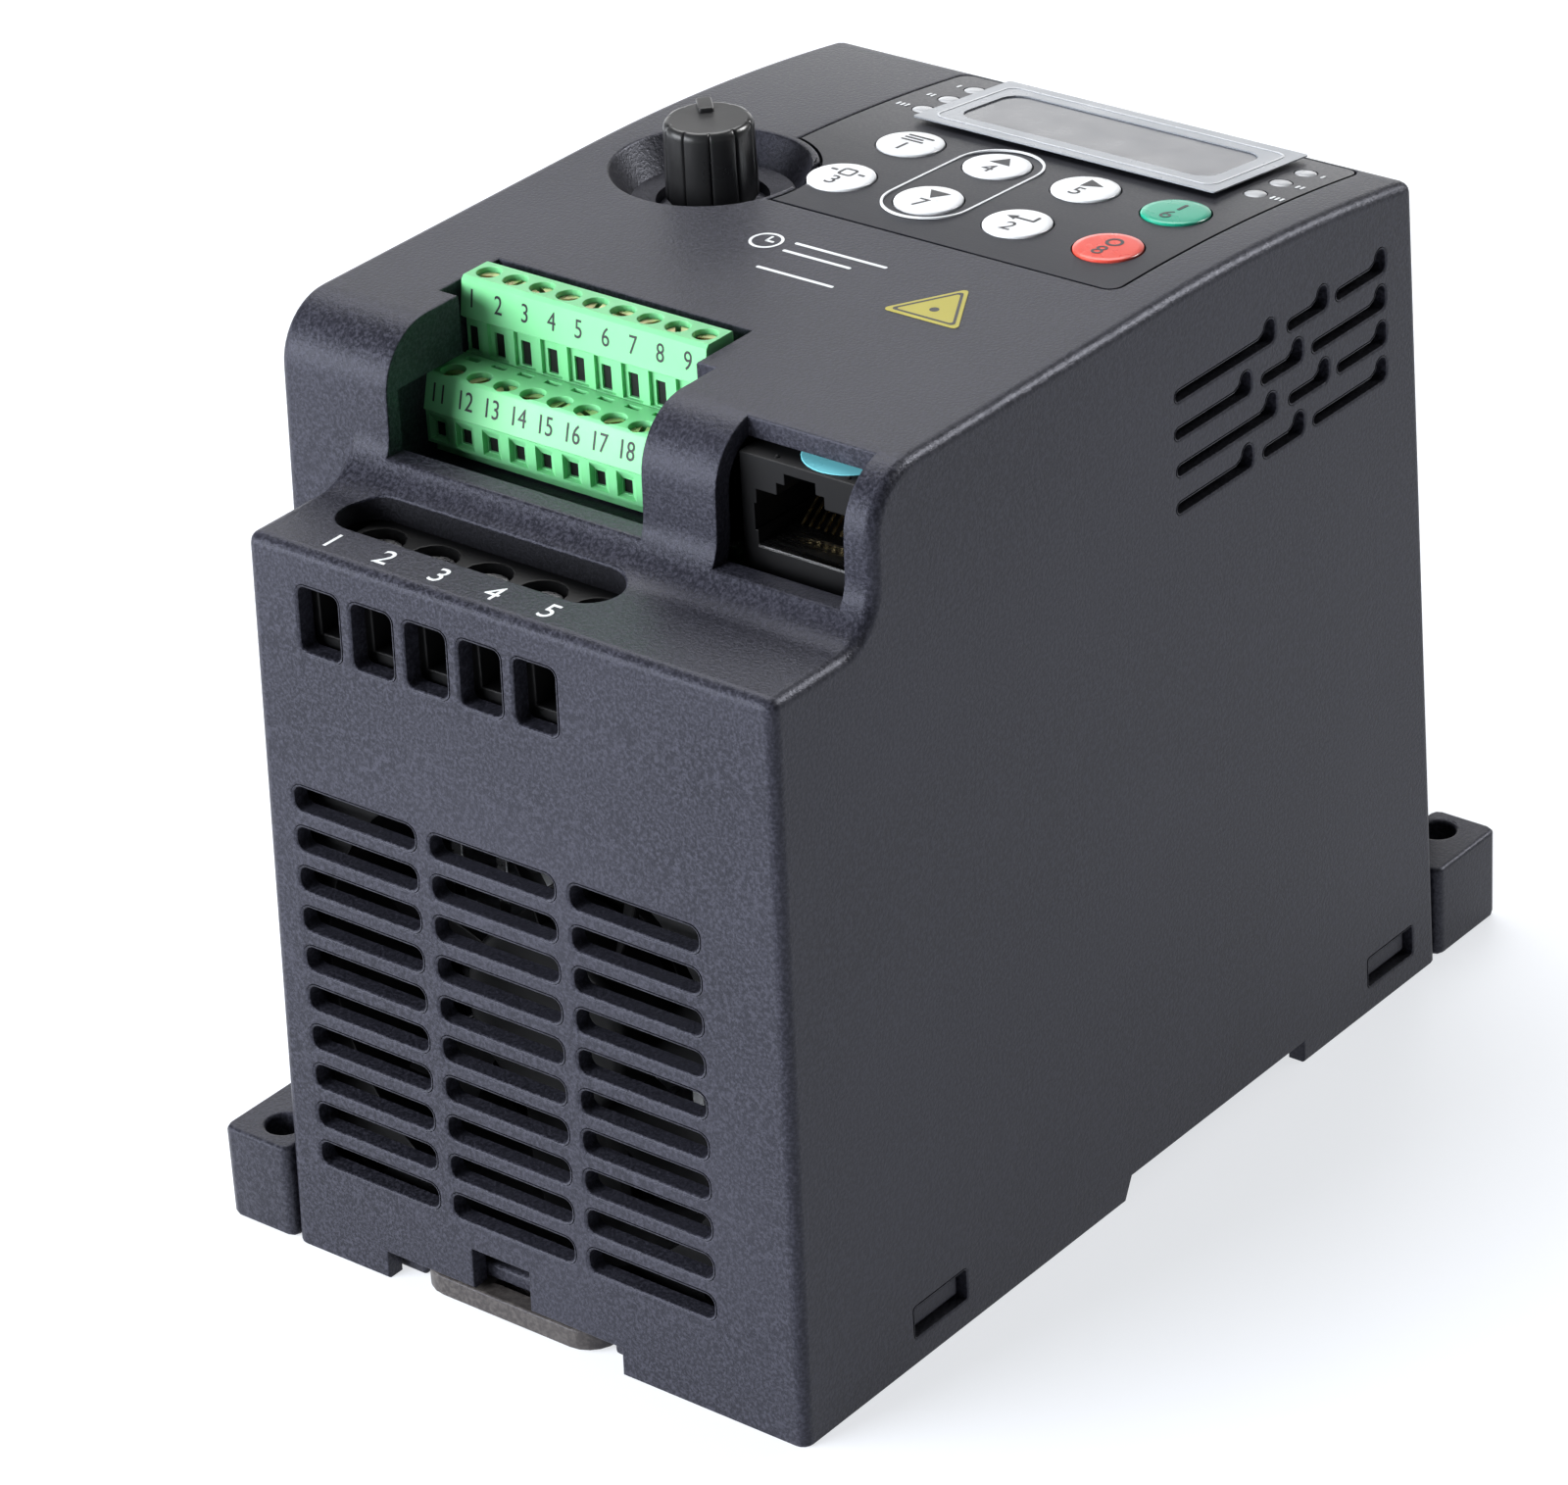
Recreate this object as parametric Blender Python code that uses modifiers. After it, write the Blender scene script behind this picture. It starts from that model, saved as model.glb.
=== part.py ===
"""Variable frequency drive for a wall or a DIN rail, lying on its mounting face.

+X is the drive's width, +Y its mains end, +Z points out of the keypad panel.
The origin is the middle of the mounting face. Lengths below are in millimetres
and are turned into metres where a mesh is made.
"""

import math

import bmesh
import bpy
from mathutils import Matrix, Vector

MM = 0.001

# Driving dimensions
WIDTH = 84.0
LENGTH = 137.0
PANEL_Z = 107.0
STEP_Z = 89.5
WALL = 2.2
GAP = 0.3
END_LEAN = 0.031
SIDE_LEAN = 0.0095
EDGE_RADIUS = 1.4

NEAR_END = -LENGTH / 2
FAR_END = LENGTH / 2
HALF_WIDTH = WIDTH / 2

# The corner notches that leave the two feet free for a screwdriver
NEAR_NOTCH_X = -31.9
FAR_NOTCH_X = 32.8
NEAR_NOTCH = 17.2
FAR_NOTCH = 13.2

# Side profile of the cover
NEAR_FILLET = 6.0
NEAR_ARC = 7.5
FAR_FILLET = 2.5
CROWN_START = NEAR_END + 72.0
CROWN_RADIUS = 301.0
ARC_STEPS = 7
CROWN_STEPS = 8
LEAN_ANGLE = math.degrees(math.atan(END_LEAN))
TILT = math.hypot(1.0, END_LEAN)

# Base, feet and rail channel
BASE_THICKNESS = 5.5
COVER_SKIRT = -6.0
CAVITY_BOTTOM = -8.0
FOOT_HEIGHT = 12.0
HOLE_X = 36.25
HOLE_FROM_END = 4.25
HOLE_RADIUS = 2.2
RAIL_NEAR = NEAR_END + 59.5
RAIL_FAR = NEAR_END + 95.2
RAIL_DEPTH = 2.7
RAIL_LEAD_IN = 1.9
LUG_STARTS = (19.8, 109.0)
LUG_WINDOW_LENGTH = 9.4
LUG_WINDOW_Z = (3.4, 7.2)
POST_X = 34.0
POST_Y = (-36.0, 38.0)
POST_WIDTH = 5.0

# Rail clip
CLIP_THICKNESS = 3.0
CLIP_TAB_X = (-14.1, 12.4)
CLIP_TAB_LENGTH = 11.6
CLIP_TAB_CORNER = 4.0
CLIP_STEM_X = (-9.0, 7.4)
CLIP_PRY_X = (-4.0, 2.4)
CLIP_NOTCH_X = (-17.8, 16.4)
CLIP_NOTCH_Z = 3.4
PRY_NOTCH_X = (-4.9, 3.3)
PRY_NOTCH_Z = (3.0, 8.4)

# Grilles: three columns of ten slots on each end face
GRILLE_COLUMNS = 3
GRILLE_ROWS = 10
GRILLE_COLUMN_PITCH = 19.7
GRILLE_ROW_PITCH = 5.01
GRILLE_MIDDLE_X = 1.45
GRILLE_LOWEST_Z = 13.5
SLOT_LENGTH = 17.5
SLOT_HEIGHT = 2.9
SLOT_CORNER = 1.1

# Side vents: rows alternate between two sets of spans measured from the near end
VENT_ROWS = 4
VENT_ROW_PITCH = 4.45
VENT_TOP_Z = 94.95
VENT_HEIGHT = 1.2
VENT_END_WIDTH = 1.9
VENT_RISE = 1.35
VENT_SPANS = (
    ((73.6, 92.6), (95.2, 103.0), (104.8, 114.6)),
    ((73.4, 87.8), (90.0, 97.9), (99.9, 114.5)),
)

# Power terminals
POLE_PITCH = 7.6
OUTPUT_POLES = 5
OUTPUT_FIRST_X = -21.3
INPUT_POLES = 3
INPUT_FIRST_X = -9.1
ENTRY_Z = 81.1
ENTRY_WIDTH = 5.7
ENTRY_HEIGHT = 7.7
ENTRY_CORNER = 1.0
DRIVER_SLOT_X = (-26.0, 12.4)
FAR_DRIVER_SLOT_X = (-13.8, 10.8)
DRIVER_SLOT_WIDTH = 7.5
DRIVER_SLOT_Y = NEAR_END + 13.05
FAR_DRIVER_SLOT_WIDTH = 5.6
FAR_DRIVER_SLOT_Y = FAR_END - 7.6
POWER_SCREW_RADIUS = 2.5
POWER_SCREW_HEIGHT = 2.2
POWER_WELL_RADIUS = 2.9
POWER_SCREW_SETBACK = 7.6

# Control terminals and network jack
CONTROL_PITCH = 3.81
CONTROL_POLES = 9
CONTROL_LEFT = -27.4
CONTROL_STEP_Y = NEAR_END + 35.9
CONTROL_NEAR_Y = NEAR_END + 29.3
CONTROL_FAR_Y = NEAR_END + 41.4
CONTROL_UPPER_Z = 107.5
CONTROL_LOWER_Z = 98.5
CONTROL_UPPER_WELL_Y = NEAR_END + 38.6
CONTROL_LOWER_WELL_Y = NEAR_END + 31.9
CONTROL_WELL_RADIUS = 1.45
CONTROL_ENTRY_HALF = 1.15
CONTROL_ENTRY_DROP = (8.6, 5.0)
WELL_FLOOR_Z = 88.5
WELL_WALL = 1.5
WELL_SILL_Z = 92.8
WELL_LOWER = (-25.3, 10.3)
WELL_UPPER = (-27.9, 7.7)
WELL_JOG_Y = NEAR_END + 33.5
WELL_FAR_Y = NEAR_END + 42.8
JACK_RECESS = (20.4, 37.1)
JACK_SILL_Z = 92.0
JACK_RECESS_FAR_Y = NEAR_END + 26.3
JACK_FACE_Y = NEAR_END + 24.0
JACK_TOP_Z = 103.9
JACK_WIDTH = 15.9
JACK_LENGTH = 18.0
JACK_MOUTH_DEPTH = 12.0
JACK_MOUTH = (
    (5.9, 93.3),
    (5.9, 99.9),
    (3.1, 99.9),
    (3.1, 101.3),
    (2.0, 101.3),
    (2.0, 102.6),
)

# Keypad
OVERLAY_LOW = (-20.9, NEAR_END + 71.6)
OVERLAY_HIGH = (34.7, NEAR_END + 119.2)
OVERLAY_THICKNESS = 1.0
OVERLAY_CORNER = 1.6
BUTTON_COLUMNS = (-9.4, 2.9, 15.2, 27.5)
BUTTON_ROWS = {"a": NEAR_END + 93.4, "b": NEAR_END + 80.6}
BUTTON_NAMES = {
    "a": ("program", "up", "shift", "run"),
    "b": ("function", "down", "enter", "stop"),
}
BUTTON_RADIUS = 3.95
BUTTON_HEIGHT = 4.6
BUTTON_PROUD = 0.25
DISPLAY_Y = NEAR_END + 109.4
DISPLAY_X = 6.9
DISPLAY_SIZE = (35.0, 12.4)
LED_COLUMNS = {"left": -16.0, "right": 30.6}
LED_OFFSETS = (5.0, 0.0, -5.0)
LED_RADIUS = 1.1
KEY_CLEARANCE = 0.35
KEYPAD_OPENING_X = (-14.4, 32.7)
LED_OPENING_X = (-18.6, -13.0)
FILM_REACH = 3.4

# Speed knob
KNOB_X = -24.3
KNOB_Y = NEAR_END + 75.6
DISH_RADIUS = 11.7
DISH_DEPTH = 4.0
DISH_FLOOR_Z = PANEL_Z - DISH_DEPTH
DISH_WALL_REACH = 2.2
KNOB_RADIUS = 5.4
KNOB_TOP_Z = 112.7
KNOB_TAPER = 0.35
KNOB_FLUTES = 10
KNOB_FLUTE_RADIUS = 0.42
KNOB_NECK_RADIUS = 3.0
KNOB_NECK_HOLE = 3.6
POINTER_ANGLE = math.radians(135.0)
POINTER_WIDTH = 1.8
POINTER_REACH = (1.6, 4.8)
POINTER_HEIGHT = 0.5

# Fan
FAN_SIZE = 60.0
FAN_DEPTH = 15.0
FAN_X = 1.2
FAN_Z = 36.2
FAN_FRONT_Y = NEAR_END + 5.5
FAN_BLADES = 7
FAN_WALL = 1.5
FAN_SCREW_PITCH = 50.0
FAN_SCREW_HOLE = 2.1
FAN_HUB_RADIUS = 11.5
FAN_HUB_DEPTH = 9.5
FAN_SPIDER = 2.0

# Inside
BOARD_THICKNESS = 1.6
POWER_BOARD_Z = 68.0
CONTROL_BOARD_Z = 84.2
KEYPAD_BOARD_Z = 97.0
HEATSINK_TOP = 60.0
HEATSINK_HALF = 31.0
HEATSINK_Y = (NEAR_END + 23.0, NEAR_END + 113.0)
HEATSINK_PLATE = 6.0
FIN_GAPS = 9
FIN_WIDTH = 1.8
MODULE_BOX = ((-21.0, -14.0), (21.0, 12.0))
MODULE_TOP = 67.4
RELAY_BOX = ((15.0, -22.0), (34.0, -8.0))
RELAY_TOP = 100.0
HEADER_BOX = ((-34.0, -8.6), (-8.0, -5.6))
CAPACITOR_X = (-20.0, 5.0)
CAPACITOR_Y = 14.0
CAPACITOR_RADIUS = 11.0
CAPACITOR_HEIGHT = 22.0
CHOKE_PLACE = (22.0, 40.0)
CHOKE_RING = 8.0
CHOKE_THICKNESS = 4.4
POTENTIOMETER_SIZE = 8.0


# Scene, collections and materials


def clear_scene():
    for old in list(bpy.data.objects):
        bpy.data.objects.remove(old, do_unlink=True)


def new_collection(name):
    collection = bpy.data.collections.new(name)
    bpy.context.scene.collection.children.link(collection)
    return collection


def material(name, colour, roughness, metallic=0.0):
    made = bpy.data.materials.get(name)
    if made:
        return made
    made = bpy.data.materials.new(name)
    made.use_nodes = True
    shader = made.node_tree.nodes["Principled BSDF"]
    shader.inputs["Base Color"].default_value = (*colour, 1.0)
    shader.inputs["Roughness"].default_value = roughness
    shader.inputs["Metallic"].default_value = metallic
    return made


def black_plastic():
    return material("black_plastic", (0.035, 0.036, 0.042), 0.55)


def clip_plastic():
    return material("clip_plastic", (0.045, 0.038, 0.034), 0.45)


def gloss_black():
    return material("gloss_black", (0.01, 0.01, 0.011), 0.25)


def green_plastic():
    return material("green_plastic", (0.25, 0.78, 0.32), 0.35)


def overlay_film():
    return material("overlay_film", (0.05, 0.052, 0.06), 0.4)


def clear_window():
    return material("clear_window", (0.02, 0.02, 0.025), 0.1)


def frosted_film():
    return material("frosted_film", (0.6, 0.64, 0.68), 0.5)


def white_key():
    return material("white_key", (0.85, 0.86, 0.87), 0.35)


def green_key():
    return material("green_key", (0.02, 0.45, 0.27), 0.35)


def red_key():
    return material("red_key", (0.8, 0.1, 0.06), 0.35)


def aluminium():
    return material("aluminium", (0.75, 0.76, 0.78), 0.35, 1.0)


def steel():
    return material("steel", (0.6, 0.6, 0.62), 0.3, 1.0)


def board_green():
    return material("board_green", (0.02, 0.16, 0.07), 0.45)


def component_black():
    return material("component_black", (0.02, 0.02, 0.022), 0.5)


def capacitor_sleeve():
    return material("capacitor_sleeve", (0.02, 0.03, 0.09), 0.35)


def copper_winding():
    return material("copper_winding", (0.6, 0.25, 0.1), 0.35, 1.0)


# Mesh helpers: all of them take millimetres


def add_block(bm, low, high, axis=None, radius=0.0, steps=1):
    """A box from low to high, with the four edges along axis rounded."""
    low, high = Vector(low), Vector(high)
    made = bmesh.ops.create_cube(bm, size=1.0)
    verts = made["verts"]
    for vert in verts:
        for i in range(3):
            vert.co[i] = (low[i] + high[i]) / 2 + vert.co[i] * (high[i] - low[i])
    if axis is None:
        return
    index = "xyz".index(axis)
    edges = {edge for vert in verts for edge in vert.link_edges}
    along = [
        edge
        for edge in edges
        if abs(edge.verts[0].co[index] - edge.verts[1].co[index]) > 1e-6
        and (edge.verts[0].co - edge.verts[1].co).length
        < abs(edge.verts[0].co[index] - edge.verts[1].co[index]) + 1e-6
    ]
    bmesh.ops.bevel(
        bm, geom=along, offset=radius, segments=steps, profile=0.5, affect="EDGES"
    )


def add_cylinder(bm, middle, radius, depth, axis="z", steps=24, top_radius=None):
    """A cylinder or cone frustum centred on middle, its top towards +axis."""
    turn = {
        "x": Matrix.Rotation(math.pi / 2, 4, "Y"),
        "y": Matrix.Rotation(-math.pi / 2, 4, "X"),
        "z": Matrix.Identity(4),
    }[axis]
    bmesh.ops.create_cone(
        bm,
        cap_ends=True,
        segments=steps,
        radius1=radius,
        radius2=radius if top_radius is None else top_radius,
        depth=depth,
        matrix=Matrix.Translation(middle) @ turn,
    )


def finish_mesh(bm, name, pivot=(0.0, 0.0, 0.0)):
    """A mesh in metres whose origin is at pivot."""
    for vert in bm.verts:
        vert.co = (vert.co - Vector(pivot)) * MM
    bmesh.ops.recalc_face_normals(bm, faces=bm.faces[:])
    mesh = bpy.data.meshes.new(name)
    bm.to_mesh(mesh)
    bm.free()
    return mesh


def node(name, bm, finish, pivot=(0.0, 0.0, 0.0), parent=None, smooth=None):
    """A sub-part of the drive, from a bmesh in millimetres."""
    mesh = finish_mesh(bm, name, pivot)
    if smooth:
        mesh.shade_smooth()
        mesh.set_sharp_from_angle(angle=math.radians(smooth))
    mesh.materials.append(finish)
    made = bpy.data.objects.new(name, mesh)
    made.location = Vector(pivot) * MM
    made.parent = parent
    PARTS.objects.link(made)
    return made


def cutter(name, bm):
    made = bpy.data.objects.new(name, finish_mesh(bm, name))
    made.hide_render = True
    made.display_type = "WIRE"
    CUTTERS.objects.link(made)
    return made


def boolean(target, operation, other):
    added = target.modifiers.new(other.name, "BOOLEAN")
    added.operation = operation
    added.solver = "EXACT"
    added.object = other


def prism(outline, low, high, axis="x"):
    """The bmesh of a flat outline pushed from low to high along axis.

    The outline's two numbers are (y, z) along x, (x, z) along y, (x, y) along z.
    """
    curve = bpy.data.curves.new("outline", "CURVE")
    curve.dimensions = "2D"
    curve.fill_mode = "BOTH"
    curve.extrude = (high - low) / 2
    spline = curve.splines.new("POLY")
    spline.points.add(len(outline) - 1)
    for point, place in zip(spline.points, outline):
        point.co = (place[0], place[1], 0.0, 1.0)
    spline.use_cyclic_u = True
    holder = bpy.data.objects.new("outline", curve)
    bpy.context.scene.collection.objects.link(holder)
    graph = bpy.context.evaluated_depsgraph_get()
    mesh = bpy.data.meshes.new_from_object(holder.evaluated_get(graph))
    bpy.data.objects.remove(holder, do_unlink=True)
    bm = bmesh.new()
    bm.from_mesh(mesh)
    bpy.data.meshes.remove(mesh)
    bmesh.ops.remove_doubles(bm, verts=bm.verts[:], dist=1e-4)
    bmesh.ops.dissolve_limit(
        bm, angle_limit=0.001, verts=bm.verts[:], edges=bm.edges[:]
    )
    middle = (low + high) / 2
    for vert in bm.verts:
        u, v, w = vert.co
        w += middle
        vert.co = {"x": (w, u, v), "y": (u, w, v), "z": (u, v, w)}[axis]
    bmesh.ops.recalc_face_normals(bm, faces=bm.faces[:])
    return bm


def arc(middle, radius, start, end, steps):
    points = []
    for i in range(steps + 1):
        angle = math.radians(start + (end - start) * i / steps)
        points.append(
            (middle[0] + radius * math.cos(angle), middle[1] + radius * math.sin(angle))
        )
    return points


def rounded_outline(low, high, radius, steps=4):
    points = []
    for x, y, start in (
        (high[0] - radius, high[1] - radius, 0),
        (low[0] + radius, high[1] - radius, 90),
        (low[0] + radius, low[1] + radius, 180),
        (high[0] - radius, low[1] + radius, 270),
    ):
        points += arc((x, y), radius, start, start + 90, steps)
    return points


# Shape of the cover


def panel_height(y):
    """Height of the keypad panel, which falls away gently towards the mains end."""
    return PANEL_Z - max(0.0, y - CROWN_START) ** 2 / (2 * CROWN_RADIUS)


def panel_slope(y):
    return max(0.0, y - CROWN_START) / CROWN_RADIUS


def near_face(z):
    return NEAR_END + END_LEAN * z


def far_face(z):
    return FAR_END - END_LEAN * z


def near_wall(z):
    return NEAR_END + NEAR_NOTCH + END_LEAN * z


def far_wall(z):
    return FAR_END - FAR_NOTCH - END_LEAN * z


def half_width(z):
    return HALF_WIDTH - SIDE_LEAN * z


def near_rise(inset):
    """Fillet from the output step up to the wall behind it."""
    z = STEP_Z + NEAR_FILLET
    middle = (near_wall(z) - NEAR_FILLET * TILT, z)
    return arc(middle, NEAR_FILLET + inset, -90, -LEAN_ANGLE, ARC_STEPS)


def far_rise(inset):
    """Fillet from the wall down to the mains step."""
    z = STEP_Z + FAR_FILLET
    middle = (far_wall(z) + FAR_FILLET * TILT, z)
    return arc(middle, FAR_FILLET + inset, 180 + LEAN_ANGLE, 270, ARC_STEPS // 2)


def brow(inset):
    """Large arc from the wall over to the keypad panel."""
    z = PANEL_Z - NEAR_ARC
    middle = (near_wall(z) + NEAR_ARC * TILT, z)
    return arc(middle, NEAR_ARC - inset, 180 - LEAN_ANGLE, 90, ARC_STEPS)


def crown(inset):
    """The panel from where it starts to fall away to the mains side wall."""
    end_y = far_wall(PANEL_Z) - inset
    points = []
    for i in range(CROWN_STEPS + 1):
        y = CROWN_START + (end_y - CROWN_START) * i / CROWN_STEPS
        points.append((y, panel_height(y) - inset))
    end_z = points[-1][1]
    points[-1] = (far_wall(end_z) - inset * TILT, end_z)
    return points


def leaning_prism(outline, low, high):
    """A prism along X that narrows with height, as the cover's sides do."""
    bm = prism(outline, low, high)
    for vert in bm.verts:
        vert.co.x *= half_width(vert.co.z) / HALF_WIDTH
    return bm


def output_profile(inset, bottom):
    """Side view without the near notch: output step, panel and mains side wall."""
    outline = [(near_face(bottom) + inset, bottom)]
    outline += [(near_face(STEP_Z) + inset, STEP_Z - inset)]
    outline += near_rise(inset) + brow(inset) + crown(inset)
    return outline + [(far_wall(bottom) - inset * TILT, bottom)]


def mains_profile(inset, bottom):
    """Side view without the far notch: output side wall, panel and mains step."""
    outline = [(near_wall(bottom) + inset * TILT, bottom)]
    outline += brow(inset) + crown(inset) + far_rise(inset)
    outline += [(far_face(STEP_Z) - inset, STEP_Z - inset)]
    return outline + [(far_face(bottom) - inset, bottom)]


def cover_shape(name, inset, bottom, maker, edge_radius=0.0):
    """Two leaning prisms that share the panel and leave the corner notches free."""
    left, right = -HALF_WIDTH + inset, HALF_WIDTH - inset
    whole = maker(
        name,
        leaning_prism(output_profile(inset, bottom), NEAR_NOTCH_X + inset, right),
    )
    other = cutter(
        name + "_mains_side",
        leaning_prism(mains_profile(inset, bottom), left, FAR_NOTCH_X - inset),
    )
    if edge_radius:
        round_edges(whole, edge_radius, 3)
        round_edges(other, edge_radius, 3)
    boolean(whole, "UNION", other)
    weld = whole.modifiers.new("weld", "WELD")
    weld.merge_threshold = 0.000001
    flatten = whole.modifiers.new("flatten", "DECIMATE")
    flatten.decimate_type = "DISSOLVE"
    flatten.angle_limit = 0.0005
    return whole


def round_edges(target, radius, steps):
    added = target.modifiers.new("round_edges", "BEVEL")
    added.width = radius * MM
    added.segments = steps
    added.limit_method = "ANGLE"
    added.angle_limit = math.radians(40)


def cavity_cutter():
    """The hollow inside, less the parts of the moulding that hang into it."""
    hollow = cover_shape("cavity", WALL, CAVITY_BOTTOM, cutter)
    kept = bmesh.new()
    add_block(
        kept,
        (WELL_UPPER[0] - WELL_WALL, NEAR_END + 10.0, WELL_FLOOR_Z - WELL_WALL),
        (WELL_LOWER[1] + WELL_WALL, WELL_FAR_Y + WELL_WALL, PANEL_Z + 5),
    )
    boolean(hollow, "DIFFERENCE", cutter("well_kept", kept))
    kept = bmesh.new()
    add_cylinder(
        kept,
        (KNOB_X, KNOB_Y, PANEL_Z),
        DISH_RADIUS + WALL,
        2 * (DISH_DEPTH + WALL),
        steps=32,
    )
    boolean(hollow, "DIFFERENCE", cutter("dish_kept", kept))
    return hollow


def grille_cutter(name, face_y, mirror):
    bm = bmesh.new()
    for column in range(GRILLE_COLUMNS):
        x = GRILLE_MIDDLE_X + (column - 1) * GRILLE_COLUMN_PITCH
        for row in range(GRILLE_ROWS):
            z = GRILLE_LOWEST_Z + row * GRILLE_ROW_PITCH
            add_block(
                bm,
                (mirror * x - SLOT_LENGTH / 2, face_y - 8, z - SLOT_HEIGHT / 2),
                (mirror * x + SLOT_LENGTH / 2, face_y + 8, z + SLOT_HEIGHT / 2),
                axis="y",
                radius=SLOT_CORNER,
            )
    return cutter(name, bm)


def opening_cutter():
    """Wire entries, driver slots, clip notch, lug windows and rail channel."""
    bm = bmesh.new()
    for first, poles, face_y in (
        (OUTPUT_FIRST_X, OUTPUT_POLES, NEAR_END),
        (INPUT_FIRST_X, INPUT_POLES, FAR_END),
    ):
        for pole in range(poles):
            x = first + pole * POLE_PITCH
            add_block(
                bm,
                (x - ENTRY_WIDTH / 2, face_y - 6, ENTRY_Z - ENTRY_HEIGHT / 2),
                (x + ENTRY_WIDTH / 2, face_y + 6, ENTRY_Z + ENTRY_HEIGHT / 2),
                axis="y",
                radius=ENTRY_CORNER,
            )
    for (low_x, high_x), y, width in (
        (DRIVER_SLOT_X, DRIVER_SLOT_Y, DRIVER_SLOT_WIDTH),
        (FAR_DRIVER_SLOT_X, FAR_DRIVER_SLOT_Y, FAR_DRIVER_SLOT_WIDTH),
    ):
        add_block(
            bm,
            (low_x, y - width / 2, STEP_Z - 2 * WALL),
            (high_x, y + width / 2, STEP_Z + 2 * WALL),
            axis="z",
            radius=width / 2 - 0.05,
            steps=5,
        )
    for side in (-1, 1):
        for start in LUG_STARTS:
            near_y = NEAR_END + start
            add_block(
                bm,
                (side * HALF_WIDTH - 4, near_y, LUG_WINDOW_Z[0]),
                (side * HALF_WIDTH + 4, near_y + LUG_WINDOW_LENGTH, LUG_WINDOW_Z[1]),
            )
    add_block(
        bm,
        (PRY_NOTCH_X[0], NEAR_END - 4, PRY_NOTCH_Z[0]),
        (PRY_NOTCH_X[1], NEAR_END + 4, PRY_NOTCH_Z[1]),
    )
    return cutter("openings", bm)


def rail_channel_outline():
    """Section of the DIN rail channel, with a sloping lead-in at its near end."""
    return [
        (RAIL_NEAR - RAIL_LEAD_IN / 2, -1.0),
        (RAIL_FAR, -1.0),
        (RAIL_FAR, RAIL_DEPTH),
        (RAIL_NEAR + RAIL_LEAD_IN / 2, RAIL_DEPTH),
    ]


def bottom_cutters():
    """Everything below the mounting face, the rail channel, clip notch and foot ties."""
    below = bmesh.new()
    add_block(below, (-60, NEAR_END - 10, -20), (60, FAR_END + 10, 0))
    rail = prism(rail_channel_outline(), -60, 60)
    passages = bmesh.new()
    add_block(
        passages,
        (CLIP_NOTCH_X[0], NEAR_END - 4, -1),
        (CLIP_NOTCH_X[1], NEAR_END + 4, CLIP_NOTCH_Z),
    )
    for side in (-1, 1):
        notch = NEAR_NOTCH if side < 0 else FAR_NOTCH
        ends = sorted((side * (-NEAR_END - 3.0), side * (-NEAR_END - notch - 3.0)))
        across = sorted((side * (HALF_WIDTH - WALL - 0.2), side * 29.0))
        add_block(passages, (across[0], ends[0], -1), (across[1], ends[1], 5.8))
    return (
        cutter("below", below),
        cutter("cover_rail_channel", rail),
        cutter("clip_notch_and_tie_passages", passages),
    )


def vent_outline(near_y, far_y, z):
    """A thin slot whose far end turns up into a rounded, taller opening."""
    half, end_half = VENT_HEIGHT / 2, VENT_END_WIDTH / 2
    middle_y = far_y - end_half
    outline = arc((near_y + half, z), half, 90, 270, 4)
    outline += arc((middle_y, z + end_half - half), end_half, -90, 0, 3)
    outline += arc((middle_y, z + VENT_RISE), end_half, 0, 180, 5)
    outline += [(middle_y - end_half - 0.4, z + half + 0.35)]
    outline += [(middle_y - end_half - 1.3, z + half)]
    return outline


def vent_cutter():
    """Four rows of three vents on each side, in two alternating sets of lengths."""
    bm = bmesh.new()
    for row in range(VENT_ROWS):
        z = VENT_TOP_Z - row * VENT_ROW_PITCH
        for near_y, far_y in VENT_SPANS[row % 2]:
            outline = vent_outline(NEAR_END + near_y, NEAR_END + far_y, z)
            for low in (-HALF_WIDTH - 3, HALF_WIDTH - 5):
                slot = prism(outline, low, low + 8)
                joined = bpy.data.meshes.new("vent")
                slot.to_mesh(joined)
                slot.free()
                bm.from_mesh(joined)
                bpy.data.meshes.remove(joined)
    return cutter("vents", bm)


def recess_cutters():
    """Control well, jack recess and knob dish, one cutter each."""
    well = bmesh.new()
    add_block(
        well,
        (WELL_LOWER[0], NEAR_END + 8.0, WELL_SILL_Z),
        (WELL_LOWER[1], WELL_JOG_Y, PANEL_Z + 6),
    )
    jog = bmesh.new()
    add_block(
        jog,
        (WELL_UPPER[0], WELL_JOG_Y - 0.5, WELL_FLOOR_Z),
        (WELL_UPPER[1], WELL_FAR_Y, PANEL_Z + 6),
    )
    sunk = bmesh.new()
    add_block(
        sunk,
        (WELL_UPPER[0], near_wall(WELL_FLOOR_Z) + WALL, WELL_FLOOR_Z),
        (WELL_LOWER[1], WELL_JOG_Y, 100.0),
    )
    jack = bmesh.new()
    add_block(
        jack,
        (JACK_RECESS[0], NEAR_END + 8.0, JACK_SILL_Z),
        (JACK_RECESS[1], JACK_RECESS_FAR_Y, PANEL_Z + 6),
    )
    dish = bmesh.new()
    add_cylinder(
        dish,
        (KNOB_X, KNOB_Y, PANEL_Z - DISH_DEPTH / 2 + 0.5),
        DISH_RADIUS - DISH_WALL_REACH,
        DISH_DEPTH + 1.0,
        steps=32,
        top_radius=DISH_RADIUS + DISH_WALL_REACH / DISH_DEPTH,
    )
    neck = bmesh.new()
    add_cylinder(neck, (KNOB_X, KNOB_Y, PANEL_Z - 5), KNOB_NECK_HOLE, 20, steps=16)
    names = ("well", "well_jog", "well_floor", "jack_recess", "knob_dish", "knob_neck")
    return [
        cutter(name, bm) for name, bm in zip(names, (well, jog, sunk, jack, dish, neck))
    ]


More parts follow.
